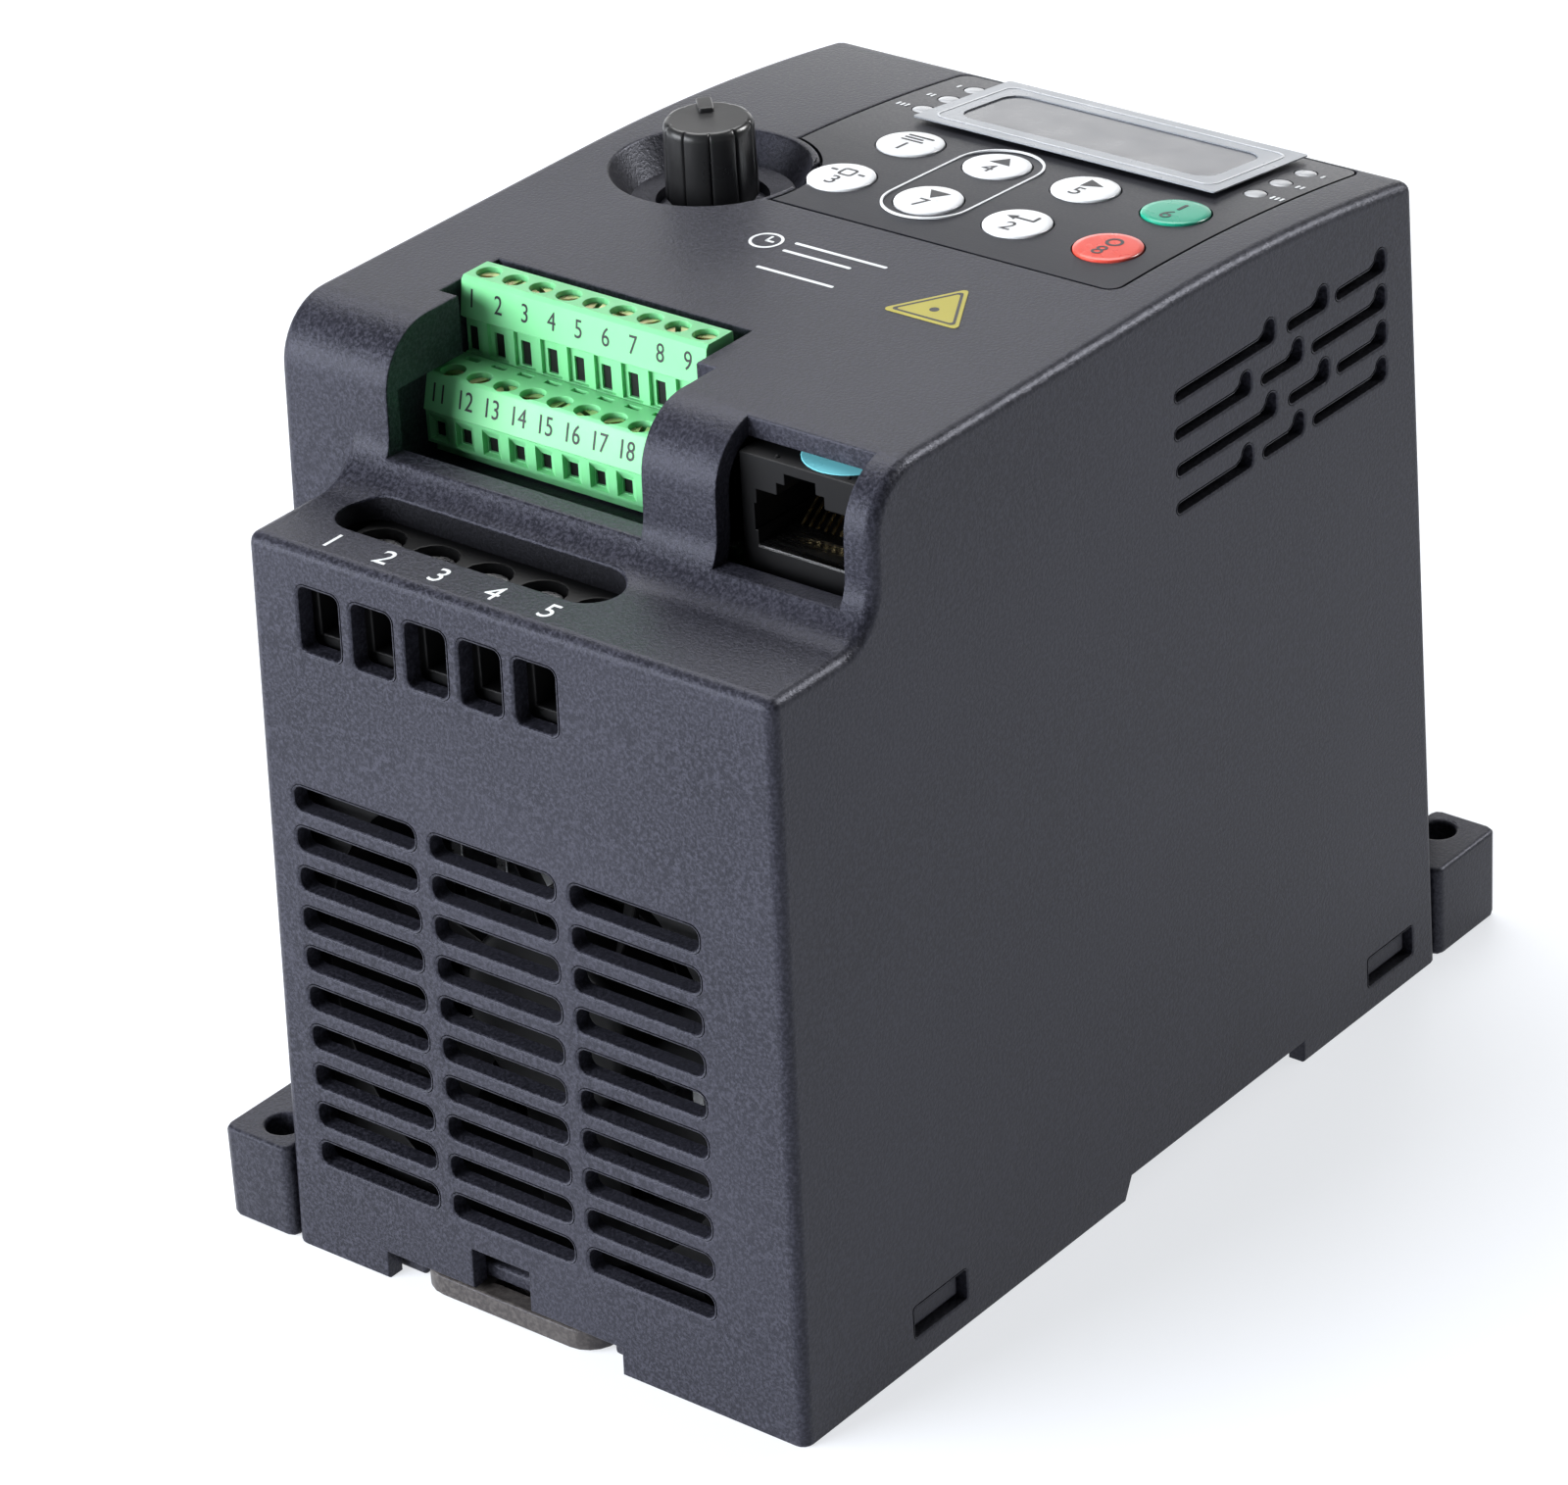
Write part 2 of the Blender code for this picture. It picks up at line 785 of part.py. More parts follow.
def overlay_outline(grow):
    """Rounded rectangle of the key plate, before the bite round the knob's dish."""
    low = (OVERLAY_LOW[0] - grow, OVERLAY_LOW[1] - grow)
    high = (OVERLAY_HIGH[0] + grow, OVERLAY_HIGH[1] + grow)
    return rounded_outline(low, high, OVERLAY_CORNER + grow)


def overlay_strip(top, bottom, margin):
    """A curved strip that follows the panel, between two depths below it."""
    steps = 8
    low, high = OVERLAY_LOW[1] - margin, OVERLAY_HIGH[1] + margin
    places = [low + (high - low) * i / steps for i in range(steps + 1)]
    outline = [(y, panel_height(y) - top) for y in places]
    outline += [(y, panel_height(y) - bottom) for y in reversed(places)]
    return prism(outline, OVERLAY_LOW[0] - margin, OVERLAY_HIGH[0] + margin)


def keypad_recess_cutters():
    """The shallow seat of the overlay and the opening under it."""
    seat = cutter(
        "overlay_seat", overlay_strip(-3.0, OVERLAY_THICKNESS + 0.1 + GAP, 4.0)
    )
    limit = cutter("overlay_limit", prism(overlay_outline(0.25), 90, 120, "z"))
    bite = bmesh.new()
    add_cylinder(
        bite, (KNOB_X, KNOB_Y, 105), DISH_RADIUS + 0.6, 30, steps=32
    )
    boolean(seat, "INTERSECT", limit)
    boolean(seat, "DIFFERENCE", cutter("overlay_bite", bite))
    opening = bmesh.new()
    add_block(
        opening,
        (KEYPAD_OPENING_X[0], OVERLAY_LOW[1] + 4.0, 95),
        (KEYPAD_OPENING_X[1], OVERLAY_HIGH[1] - 3.0, 110),
    )
    side = bmesh.new()
    add_block(
        side,
        (LED_OPENING_X[0], KNOB_Y + 23.0, 95),
        (LED_OPENING_X[1], OVERLAY_HIGH[1] - 3.5, 110),
    )
    return seat, cutter("keypad_opening", opening), cutter("led_opening", side)


def build_cover():
    cover = cover_shape("housing_cover", 0.0, COVER_SKIRT, cover_node, EDGE_RADIUS)
    cutters = [cavity_cutter(), *bottom_cutters(), *recess_cutters()]
    cutters += [*keypad_recess_cutters(), opening_cutter()]
    cutters += [grille_cutter("near_grille", NEAR_END, 1)]
    cutters += [grille_cutter("far_grille", FAR_END, -1), vent_cutter()]
    for piece in cutters:
        boolean(cover, "DIFFERENCE", piece)


def cover_node(name, bm):
    return node(name, bm, black_plastic())


# Base and rail clip


def foot_blocks():
    """The near left and far right feet."""
    bm = bmesh.new()
    add_block(
        bm,
        (-HALF_WIDTH, NEAR_END, 0),
        (NEAR_NOTCH_X - GAP, NEAR_END + NEAR_NOTCH - GAP, FOOT_HEIGHT),
        axis="z",
        radius=1.2,
        steps=2,
    )
    add_block(
        bm,
        (FAR_NOTCH_X + GAP, FAR_END - FAR_NOTCH + GAP, 0),
        (HALF_WIDTH, FAR_END, FOOT_HEIGHT),
        axis="z",
        radius=1.2,
        steps=2,
    )
    return bm


def base_ends(inner_x):
    """The two ends of the plate, narrower than its middle because of the feet."""
    bm = bmesh.new()
    overlap = 8.0
    clear = WALL + GAP
    add_block(
        bm,
        (NEAR_NOTCH_X + clear, NEAR_END + clear + 0.2, 0),
        (inner_x, NEAR_END + NEAR_NOTCH + overlap, BASE_THICKNESS),
    )
    add_block(
        bm,
        (-inner_x, FAR_END - FAR_NOTCH - overlap, 0),
        (FAR_NOTCH_X - clear, FAR_END - clear - 0.2, BASE_THICKNESS),
    )
    return bm


def foot_ties(inner_x):
    """Flat bridges that carry each foot through the cover's skirt."""
    bm = bmesh.new()
    high_z = BASE_THICKNESS - 0.1
    inner = 25.0
    add_block(
        bm,
        (-inner_x + 0.5, NEAR_END + 4.0, 0),
        (-inner, NEAR_END + NEAR_NOTCH + 2.6, high_z),
    )
    add_block(
        bm,
        (inner, FAR_END - FAR_NOTCH - 2.6, 0),
        (inner_x - 0.5, FAR_END - 4.0, high_z),
    )
    return bm


def cover_lugs(inner_x):
    """Four lugs that snap into the windows at the foot of the cover's sides."""
    bm = bmesh.new()
    play = 0.5
    for side in (-1, 1):
        for start in LUG_STARTS:
            near_y = NEAR_END + start + play
            far_y = NEAR_END + start + LUG_WINDOW_LENGTH - play
            across = sorted((side * (inner_x - 4.0), side * (HALF_WIDTH - 0.9)))
            add_block(
                bm,
                (across[0], near_y, LUG_WINDOW_Z[0] + play),
                (across[1], far_y, LUG_WINDOW_Z[1] - play),
            )
    return bm


def board_posts():
    bm = bmesh.new()
    half = POST_WIDTH / 2
    for x in (-POST_X, POST_X):
        for y in POST_Y:
            add_block(
                bm,
                (x - half, y - half, BASE_THICKNESS - 2),
                (x + half, y + half, POWER_BOARD_Z - GAP),
            )
    return bm


def base_pockets():
    """Screw holes in the feet and the pockets that lighten the underside."""
    bm = bmesh.new()
    for x in (-HOLE_X, HOLE_X):
        y = math.copysign(FAR_END - HOLE_FROM_END, x)
        add_cylinder(bm, (x, y, 5), HOLE_RADIUS, 30, steps=24)
    for low_y, high_y in ((22.0, 56.0), (100.0, 118.0)):
        for low_x, high_x in ((-36.0, -13.5), (13.5, 36.0)):
            add_block(
                bm,
                (low_x, NEAR_END + low_y, -1),
                (high_x, NEAR_END + high_y, 2.6),
            )
    return bm


def build_base():
    """Plate, feet, flanges that tie the feet on, and lugs that hold the cover."""
    inner_x = HALF_WIDTH - WALL - GAP
    shift = NEAR_NOTCH + WALL + GAP + 0.4
    bm = bmesh.new()
    add_block(
        bm,
        (-inner_x, NEAR_END + shift, 0),
        (inner_x, FAR_END - shift + NEAR_NOTCH - FAR_NOTCH, BASE_THICKNESS),
    )
    base = node("base", bm, black_plastic())
    for name, added in (
        ("base_ends", base_ends(inner_x)),
        ("feet", foot_blocks()),
        ("foot_ties", foot_ties(inner_x)),
        ("lugs", cover_lugs(inner_x)),
        ("posts", board_posts()),
    ):
        boolean(base, "UNION", cutter(name, added))
    rail = cutter("rail_channel", prism(rail_channel_outline(), -60, 60))
    boolean(base, "DIFFERENCE", rail)
    for name, low, high in (
        ("tab_groove", (-14.6, NEAR_END - 1, -1), (13.0, NEAR_END + 17.0, 3.4)),
        ("stem_groove", (-9.4, NEAR_END + 16.0, -1), (7.8, RAIL_NEAR + 4.0, 3.4)),
    ):
        groove = bmesh.new()
        add_block(groove, low, high)
        boolean(base, "DIFFERENCE", cutter(name, groove))
    boolean(base, "DIFFERENCE", cutter("holes_and_pockets", base_pockets()))


def build_clip():
    """Sliding DIN rail clip: a wide finger tab, a stem and a hook under the rail."""
    near_y = NEAR_END + 0.4
    low, high = (CLIP_TAB_X[0], near_y), (CLIP_TAB_X[1], near_y + CLIP_TAB_LENGTH)
    tab = rounded_outline(low, high, CLIP_TAB_CORNER, 5)
    clip = node("rail_clip", prism(tab, GAP, CLIP_THICKNESS, "z"), clip_plastic())
    for name, near, far, low_z in (
        ("clip_stem", NEAR_END + 8.0, RAIL_NEAR - 2.2, GAP),
        ("clip_hook", RAIL_NEAR - 6.0, RAIL_NEAR + 1.6, 1.5),
    ):
        bm = bmesh.new()
        add_block(
            bm, (CLIP_STEM_X[0], near, low_z), (CLIP_STEM_X[1], far, CLIP_THICKNESS)
        )
        boolean(clip, "UNION", cutter(name, bm))
    pry = bmesh.new()
    add_block(
        pry,
        (CLIP_PRY_X[0], NEAR_END + 3.0, 1.6),
        (CLIP_PRY_X[1], NEAR_END + 6.5, CLIP_THICKNESS + 1),
    )
    boolean(clip, "DIFFERENCE", cutter("clip_pry_slot", pry))


# Inside


def build_heatsink():
    """Aluminium slab over a row of fins that runs between the grilles."""
    half = HEATSINK_HALF
    low_y, high_y = HEATSINK_Y
    bm = bmesh.new()
    add_block(bm, (-half, low_y, BASE_THICKNESS + GAP), (half, high_y, HEATSINK_TOP))
    sink = node("heatsink", bm, aluminium())
    gaps = bmesh.new()
    pitch = (2 * half - FIN_WIDTH) / FIN_GAPS
    gap_top = HEATSINK_TOP - HEATSINK_PLATE
    for i in range(FIN_GAPS):
        x = -half + FIN_WIDTH + i * pitch
        add_block(gaps, (x, low_y - 2, -1), (x + pitch - FIN_WIDTH, high_y + 2, gap_top))
    boolean(sink, "DIFFERENCE", cutter("fin_gaps", gaps))


def board(name, low, high, z, corners=()):
    bm = bmesh.new()
    add_block(bm, (*low, z), (*high, z + BOARD_THICKNESS))
    made = node(name, bm, board_green())
    if corners:
        cut = bmesh.new()
        for corner in corners:
            add_block(cut, (*corner[0], z - 1), (*corner[1], z + BOARD_THICKNESS + 1))
        boolean(made, "DIFFERENCE", cutter(name + "_corners", cut))


def build_boards():
    near, far = NEAR_END + 6.0, FAR_END - 6.0
    board(
        "power_board",
        (-38.0, near),
        (38.0, far),
        POWER_BOARD_Z,
        (
            ((-39.0, near - 1), (-28.5, NEAR_END + 22.2)),
            ((29.0, FAR_END - 18.0), (39.0, far + 1)),
        ),
    )
    board(
        "control_board",
        (-37.0, NEAR_END + 23.2),
        (37.0, NEAR_END + 64.0),
        CONTROL_BOARD_Z,
    )
    board(
        "keypad_board",
        (-14.0, NEAR_END + 74.0),
        (33.0, NEAR_END + 116.4),
        KEYPAD_BOARD_Z,
    )


def build_choke(seat_z):
    """A toroidal winding lying flat on the power board."""
    mesh = bpy.data.meshes.new("choke")
    ring = bmesh.new()
    middle = (CHOKE_RING, seat_z + CHOKE_THICKNESS + 0.2)
    section = arc(middle, CHOKE_THICKNESS, 90, -270, 12)[:-1]
    verts = [ring.verts.new((u * MM, 0, v * MM)) for u, v in section]
    for first, second in zip(verts, verts[1:] + verts[:1]):
        ring.edges.new((first, second))
    ring.to_mesh(mesh)
    ring.free()
    mesh.materials.append(copper_winding())
    choke = bpy.data.objects.new("emc_choke", mesh)
    choke.location = (CHOKE_PLACE[0] * MM, CHOKE_PLACE[1] * MM, 0)
    PARTS.objects.link(choke)
    turn = choke.modifiers.new("turn", "SCREW")
    turn.angle = math.tau
    turn.screw_offset = 0
    turn.steps = turn.render_steps = 24
    turn.use_merge_vertices = True
    turn.merge_threshold = 0.00001
    turn.use_normal_calculate = True


def build_components():
    top = POWER_BOARD_Z + BOARD_THICKNESS + GAP
    for name, box, low_z, high_z in (
        ("power_module", MODULE_BOX, HEATSINK_TOP + GAP, MODULE_TOP),
        ("relay", RELAY_BOX, CONTROL_BOARD_Z + BOARD_THICKNESS + GAP, RELAY_TOP),
        ("board_header", HEADER_BOX, top, CONTROL_BOARD_Z - GAP),
    ):
        bm = bmesh.new()
        add_block(bm, (*box[0], low_z), (*box[1], high_z))
        node(name, bm, component_black())
    for number, x in enumerate(CAPACITOR_X, start=1):
        bm = bmesh.new()
        middle = (x, CAPACITOR_Y, top + CAPACITOR_HEIGHT / 2)
        add_cylinder(bm, middle, CAPACITOR_RADIUS, CAPACITOR_HEIGHT, steps=28)
        node(f"bus_capacitor_{number}", bm, capacitor_sleeve(), smooth=40)
    build_choke(top)
    bm = bmesh.new()
    size = POTENTIOMETER_SIZE
    body_top = DISH_FLOOR_Z - WALL - GAP
    add_cylinder(bm, (KNOB_X, KNOB_Y, body_top - size / 2), size, size, steps=24)
    node("potentiometer", bm, component_black(), smooth=40)


def power_terminal_block(name, first_x, poles, inner_face, outer_face):
    """Pole cells with a screw well on top and a wire pocket in front."""
    low_z = POWER_BOARD_Z + BOARD_THICKNESS + GAP
    high_z = WELL_FLOOR_Z - WELL_WALL - GAP
    last_x = first_x + (poles - 1) * POLE_PITCH
    low_y, high_y = sorted((inner_face, outer_face))
    bm = bmesh.new()
    add_block(
        bm,
        (first_x - POLE_PITCH / 2 + 0.1, low_y, low_z),
        (last_x + POLE_PITCH / 2 - 0.1, high_y, high_z),
    )
    made = node(name, bm, component_black())
    cuts = bmesh.new()
    toward = math.copysign(1.0, outer_face - inner_face)
    screw_y = outer_face - toward * POWER_SCREW_SETBACK
    for pole in range(poles):
        x = first_x + pole * POLE_PITCH
        pocket = sorted((outer_face - toward * 3.2, outer_face + toward * 2))
        add_block(
            cuts, (x - 2.5, pocket[0], ENTRY_Z - 3.0), (x + 2.5, pocket[1], ENTRY_Z + 3.0)
        )
        add_cylinder(cuts, (x, screw_y, high_z), POWER_WELL_RADIUS, 7.0, steps=16)
    boolean(made, "DIFFERENCE", cutter(name + "_cells", cuts))
    return screw_y, high_z - 3.5


def screw(name, x, y, seat_z):
    """A slotted terminal screw standing on seat_z."""
    radius, height = POWER_SCREW_RADIUS, POWER_SCREW_HEIGHT
    bm = bmesh.new()
    add_cylinder(bm, (x, y, seat_z + GAP + height / 2), radius, height, steps=16)
    made = node(name, bm, steel())
    slot = bmesh.new()
    top = seat_z + GAP + height
    add_block(
        slot, (x - radius - 1, y - 0.35, top - 0.8), (x + radius + 1, y + 0.35, top + 1)
    )
    boolean(made, "DIFFERENCE", cutter(name + "_slot", slot))


def build_power_terminals():
    near_screws, seat = power_terminal_block(
        "output_terminals",
        OUTPUT_FIRST_X,
        OUTPUT_POLES,
        NEAR_END + 18.6,
        near_face(STEP_Z) + WALL + GAP + 0.2,
    )
    for pole in range(OUTPUT_POLES):
        x = OUTPUT_FIRST_X + pole * POLE_PITCH
        screw(f"output_screw_{pole + 1}", x, near_screws, seat)
    far_screws, seat = power_terminal_block(
        "mains_terminals",
        INPUT_FIRST_X,
        INPUT_POLES,
        FAR_END - 18.0,
        far_face(STEP_Z) - WALL - GAP - 0.2,
    )
    for pole in range(INPUT_POLES):
        x = INPUT_FIRST_X + pole * POLE_PITCH
        screw(f"mains_screw_{pole + 1}", x, far_screws, seat)


def control_block(name, near_y, far_y, high_z, well_y):
    """Pluggable terminal row: round screw wells above, square entries in front."""
    bm = bmesh.new()
    right = CONTROL_LEFT + CONTROL_POLES * CONTROL_PITCH
    add_block(bm, (CONTROL_LEFT, near_y, WELL_FLOOR_Z + GAP), (right, far_y, high_z))
    made = node(name, bm, green_plastic())
    cuts = bmesh.new()
    low_z, top_z = (high_z - drop for drop in CONTROL_ENTRY_DROP)
    for pole in range(CONTROL_POLES):
        x = CONTROL_LEFT + (pole + 0.5) * CONTROL_PITCH
        add_cylinder(cuts, (x, well_y, high_z), CONTROL_WELL_RADIUS, 3.0, steps=10)
        add_block(
            cuts,
            (x - CONTROL_ENTRY_HALF, near_y - 1, low_z),
            (x + CONTROL_ENTRY_HALF, near_y + 2.2, top_z),
        )
    boolean(made, "DIFFERENCE", cutter(name + "_wells", cuts))


def build_control_terminals():
    control_block(
        "control_terminals_upper",
        CONTROL_STEP_Y + GAP,
        CONTROL_FAR_Y,
        CONTROL_UPPER_Z,
        CONTROL_UPPER_WELL_Y,
    )
    control_block(
        "control_terminals_lower",
        CONTROL_NEAR_Y,
        CONTROL_STEP_Y,
        CONTROL_LOWER_Z,
        CONTROL_LOWER_WELL_Y,
    )


def build_jack():
    """8P8C network jack with its T-shaped mouth towards the output end."""
    middle = (JACK_RECESS[0] + JACK_RECESS[1]) / 2
    half = JACK_WIDTH / 2
    bm = bmesh.new()
    add_block(
        bm,
        (middle - half, JACK_FACE_Y, CONTROL_BOARD_Z + BOARD_THICKNESS + GAP),
        (middle + half, JACK_FACE_Y + JACK_LENGTH, JACK_TOP_Z),
    )
    jack = node("network_jack", bm, gloss_black())
    mouth = [(middle + x, z) for x, z in JACK_MOUTH]
    mouth += [(middle - x, z) for x, z in reversed(JACK_MOUTH)]
    cut = prism(mouth, JACK_FACE_Y - 1, JACK_FACE_Y + JACK_MOUTH_DEPTH, "y")
    boolean(jack, "DIFFERENCE", cutter("jack_mouth", cut))


# Fan


def fan_corners():
    """Centres of the fan's four screws, in (x, z)."""
    reach = FAN_SCREW_PITCH / 2
    return [(FAN_X + x * reach, FAN_Z + z * reach) for z in (-1, 1) for x in (-1, 1)]


def build_fan():
    """Square frame with a round bore and a four-armed spider that carries the hub."""
    back = FAN_FRONT_Y + FAN_DEPTH
    middle_y = FAN_FRONT_Y + FAN_DEPTH / 2
    half = FAN_SIZE / 2
    bm = bmesh.new()
    add_block(
        bm,
        (FAN_X - half, FAN_FRONT_Y, FAN_Z - half),
        (FAN_X + half, back, FAN_Z + half),
        axis="y",
        radius=3.0,
        steps=2,
    )
    frame = node("fan_frame", bm, component_black())
    bore = bmesh.new()
    through = 2 * FAN_DEPTH
    add_cylinder(bore, (FAN_X, middle_y, FAN_Z), half - FAN_WALL, through, "y", steps=40)
    for x, z in fan_corners():
        add_cylinder(bore, (x, middle_y, z), FAN_SCREW_HOLE, through, "y", 12)
    boolean(frame, "DIFFERENCE", cutter("fan_bore", bore))
    arm, reach = FAN_SPIDER, half - 1
    for name, across, up in (("fan_spider", reach, arm), ("fan_upright", arm, reach)):
        bm = bmesh.new()
        add_block(
            bm,
            (FAN_X - across, back - FAN_SPIDER, FAN_Z - up),
            (FAN_X + across, back, FAN_Z + up),
        )
        boolean(frame, "UNION", cutter(name, bm))
    seat = bmesh.new()
    add_cylinder(
        seat,
        (FAN_X, back - FAN_SPIDER / 2, FAN_Z),
        FAN_HUB_RADIUS + 0.5,
        FAN_SPIDER,
        "y",
        steps=24,
    )
    boolean(frame, "UNION", cutter("fan_seat", seat))


def build_rotor():
    """Hub with swept blades, turning about the line along Y through its origin."""
    pivot = (FAN_X, FAN_FRONT_Y + 2.0 + FAN_HUB_DEPTH / 2, FAN_Z)
    bm = bmesh.new()
    add_cylinder(bm, pivot, FAN_HUB_RADIUS, FAN_HUB_DEPTH, "y", steps=28)
    rotor = node("fan_rotor", bm, component_black(), pivot=pivot)
    blades = bmesh.new()
    root, tip = FAN_HUB_RADIUS - 2.0, FAN_SIZE / 2 - 3.0
    half_chord, half_thickness = 4.6, 0.6
    pitch = Matrix.Rotation(math.radians(48), 4, "X")
    for i in range(FAN_BLADES):
        before = set(blades.verts)
        add_block(
            blades, (root, -half_chord, -half_thickness), (tip, half_chord, half_thickness)
        )
        fresh = [vert for vert in blades.verts if vert not in before]
        spin = Matrix.Rotation(i * math.tau / FAN_BLADES, 4, "Y")
        bmesh.ops.transform(
            blades, matrix=Matrix.Translation(pivot) @ spin @ pitch, verts=fresh
        )
    boolean(rotor, "UNION", cutter("fan_blades", blades))


def build_fan_screws():
    """Screws that run through the frame into the ends of the fins."""
    middle_y = FAN_FRONT_Y + FAN_DEPTH - 6.0
    for number, (x, z) in enumerate(fan_corners(), start=1):
        bm = bmesh.new()
        add_cylinder(bm, (x, middle_y, z), 1.6, 16.0, "y", steps=10)
        node(f"fan_screw_{number}", bm, steel())


# Keypad


def surface_frame(name, x, y):
    """An empty on the panel's surface whose Z is the surface normal."""
    empty = bpy.data.objects.new(name, None)
    empty.location = Vector((x, y, panel_height(y))) * MM
    empty.rotation_euler = (-math.atan(panel_slope(y)), 0, 0)
    PARTS.objects.link(empty)
    return empty


def build_overlay():
    """Curved key plate that lies in the panel's seat, with a hole for each key."""
    overlay = node(
        "keypad_overlay", overlay_strip(0.1, 0.1 + OVERLAY_THICKNESS, 2.0), overlay_film()
    )
    limit = cutter("overlay_edge", prism(overlay_outline(-0.05), 90, 120, "z"))
    boolean(overlay, "INTERSECT", limit)
    bite = bmesh.new()
    add_cylinder(bite, (KNOB_X, KNOB_Y, 105), DISH_RADIUS + 0.9, 30, steps=32)
    boolean(overlay, "DIFFERENCE", cutter("overlay_edge_bite", bite))
    holes = bmesh.new()
    for y in BUTTON_ROWS.values():
        for x in BUTTON_COLUMNS:
            add_cylinder(
                holes, (x, y, PANEL_Z), BUTTON_RADIUS + KEY_CLEARANCE, 12, steps=20
            )
    for x in LED_COLUMNS.values():
        for offset in LED_OFFSETS:
            y = DISPLAY_Y + offset
            add_cylinder(
                holes, (x, y, PANEL_Z), LED_RADIUS + KEY_CLEARANCE, 16, steps=10
            )
    add_block(
        holes,
        (DISPLAY_X - DISPLAY_SIZE[0] / 2, DISPLAY_Y - DISPLAY_SIZE[1] / 2, 95),
        (DISPLAY_X + DISPLAY_SIZE[0] / 2, DISPLAY_Y + DISPLAY_SIZE[1] / 2, 115),
    )
    boolean(overlay, "DIFFERENCE", cutter("overlay_holes", holes))


def keypad_piece(name, x, y, radius, high, low, finish, steps):
    """A round piece standing in the panel, along the surface normal."""
    frame = surface_frame(name + "_frame", x, y)
    bm = bmesh.new()
    add_cylinder(bm, (0, 0, (high + low) / 2), radius, high - low, steps=steps)
    node(name, bm, finish, parent=frame, smooth=40)


def build_keys():
    finishes = {"run": green_key(), "stop": red_key()}
    for row, names in BUTTON_NAMES.items():
        for x, label in zip(BUTTON_COLUMNS, names):
            keypad_piece(
                f"key_{label}",
                x,
                BUTTON_ROWS[row],
                BUTTON_RADIUS,
                BUTTON_PROUD,
                BUTTON_PROUD - BUTTON_HEIGHT,
                finishes.get(label, white_key()),
                20,
            )


def build_lights():
    for side, x in LED_COLUMNS.items():
        for number, offset in enumerate(LED_OFFSETS, start=1):
            keypad_piece(
                f"status_light_{side}_{number}",
                x,
                DISPLAY_Y + offset,
                LED_RADIUS,
                -0.05,
                -3.0,
                white_key(),
                10,
            )


def build_display():
    """Digit module, its window and the frosted film stuck over them."""
    frame = surface_frame("display_frame", DISPLAY_X, DISPLAY_Y)
    half_x, half_y = DISPLAY_SIZE[0] / 2, DISPLAY_SIZE[1] / 2
    for name, reach, low, high, finish in (
        ("display_module", -0.6, -4.8, -1.6, component_black()),
        ("display_window", -GAP, -1.3, -0.1, clear_window()),
        ("display_film", FILM_REACH, 0.35, 0.6, frosted_film()),
    ):
        bm = bmesh.new()
        add_block(
            bm,
            (-half_x - reach * 1.1, -half_y - reach, low),
            (half_x + reach * 1.1, half_y + reach, high),
        )
        node(name, bm, finish, parent=frame)


def build_knob():
    """Fluted speed knob on the potentiometer's shaft, turning about +Z."""
    base_z = DISH_FLOOR_Z + GAP
    low_z = DISH_FLOOR_Z - WALL
    height = KNOB_TOP_Z - base_z
    bm = bmesh.new()
    add_cylinder(
        bm,
        (KNOB_X, KNOB_Y, base_z + height / 2),
        KNOB_RADIUS,
        height,
        steps=4 * KNOB_FLUTES,
        top_radius=KNOB_RADIUS - KNOB_TAPER,
    )
    knob = node("speed_knob", bm, gloss_black(), pivot=(KNOB_X, KNOB_Y, PANEL_Z))
    neck = bmesh.new()
    overlap = 1.0
    neck_length = base_z + overlap - low_z
    add_cylinder(
        neck,
        (KNOB_X, KNOB_Y, low_z + neck_length / 2),
        KNOB_NECK_RADIUS,
        neck_length,
        steps=16,
    )
    boolean(knob, "UNION", cutter("knob_neck_post", neck))
    pointer = bmesh.new()
    add_block(
        pointer,
        (POINTER_REACH[0], -POINTER_WIDTH / 2, KNOB_TOP_Z - 1.0),
        (POINTER_REACH[1], POINTER_WIDTH / 2, KNOB_TOP_Z + POINTER_HEIGHT),
    )
    aim = Matrix.Rotation(POINTER_ANGLE, 4, "Z")
    place = Matrix.Translation((KNOB_X, KNOB_Y, 0.0)) @ aim
    bmesh.ops.transform(pointer, matrix=place, verts=pointer.verts[:])
    boolean(knob, "UNION", cutter("knob_pointer", pointer))
    flutes = bmesh.new()
    radius = KNOB_RADIUS + 0.15
    for i in range(KNOB_FLUTES):
        angle = i * math.tau / KNOB_FLUTES
        x = KNOB_X + radius * math.cos(angle)
        y = KNOB_Y + radius * math.sin(angle)
        add_cylinder(flutes, (x, y, PANEL_Z + 1.2), KNOB_FLUTE_RADIUS, height, steps=6)
    boolean(knob, "DIFFERENCE", cutter("knob_flutes", flutes))


clear_scene()
PARTS = new_collection("variable_frequency_drive")
CUTTERS = new_collection("cutters")
build_cover()
build_base()
build_clip()
build_heatsink()
build_boards()
build_components()
build_power_terminals()
build_control_terminals()
build_jack()
build_fan()
build_rotor()
build_fan_screws()
build_overlay()
build_keys()
build_lights()
build_display()
build_knob()
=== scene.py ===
"""Looks of the variable frequency drive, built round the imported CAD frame.

Lengths are in millimetres in the helpers below and become metres where a mesh is
made. The frame is the CAD's: +X to the right, +Y to the mains end, +Z out of the
keypad, with the origin in the middle of the mounting face.
"""

import math
from contextlib import contextmanager

import bmesh
import bpy
from mathutils import Matrix, Vector
from mathutils.bvhtree import BVHTree


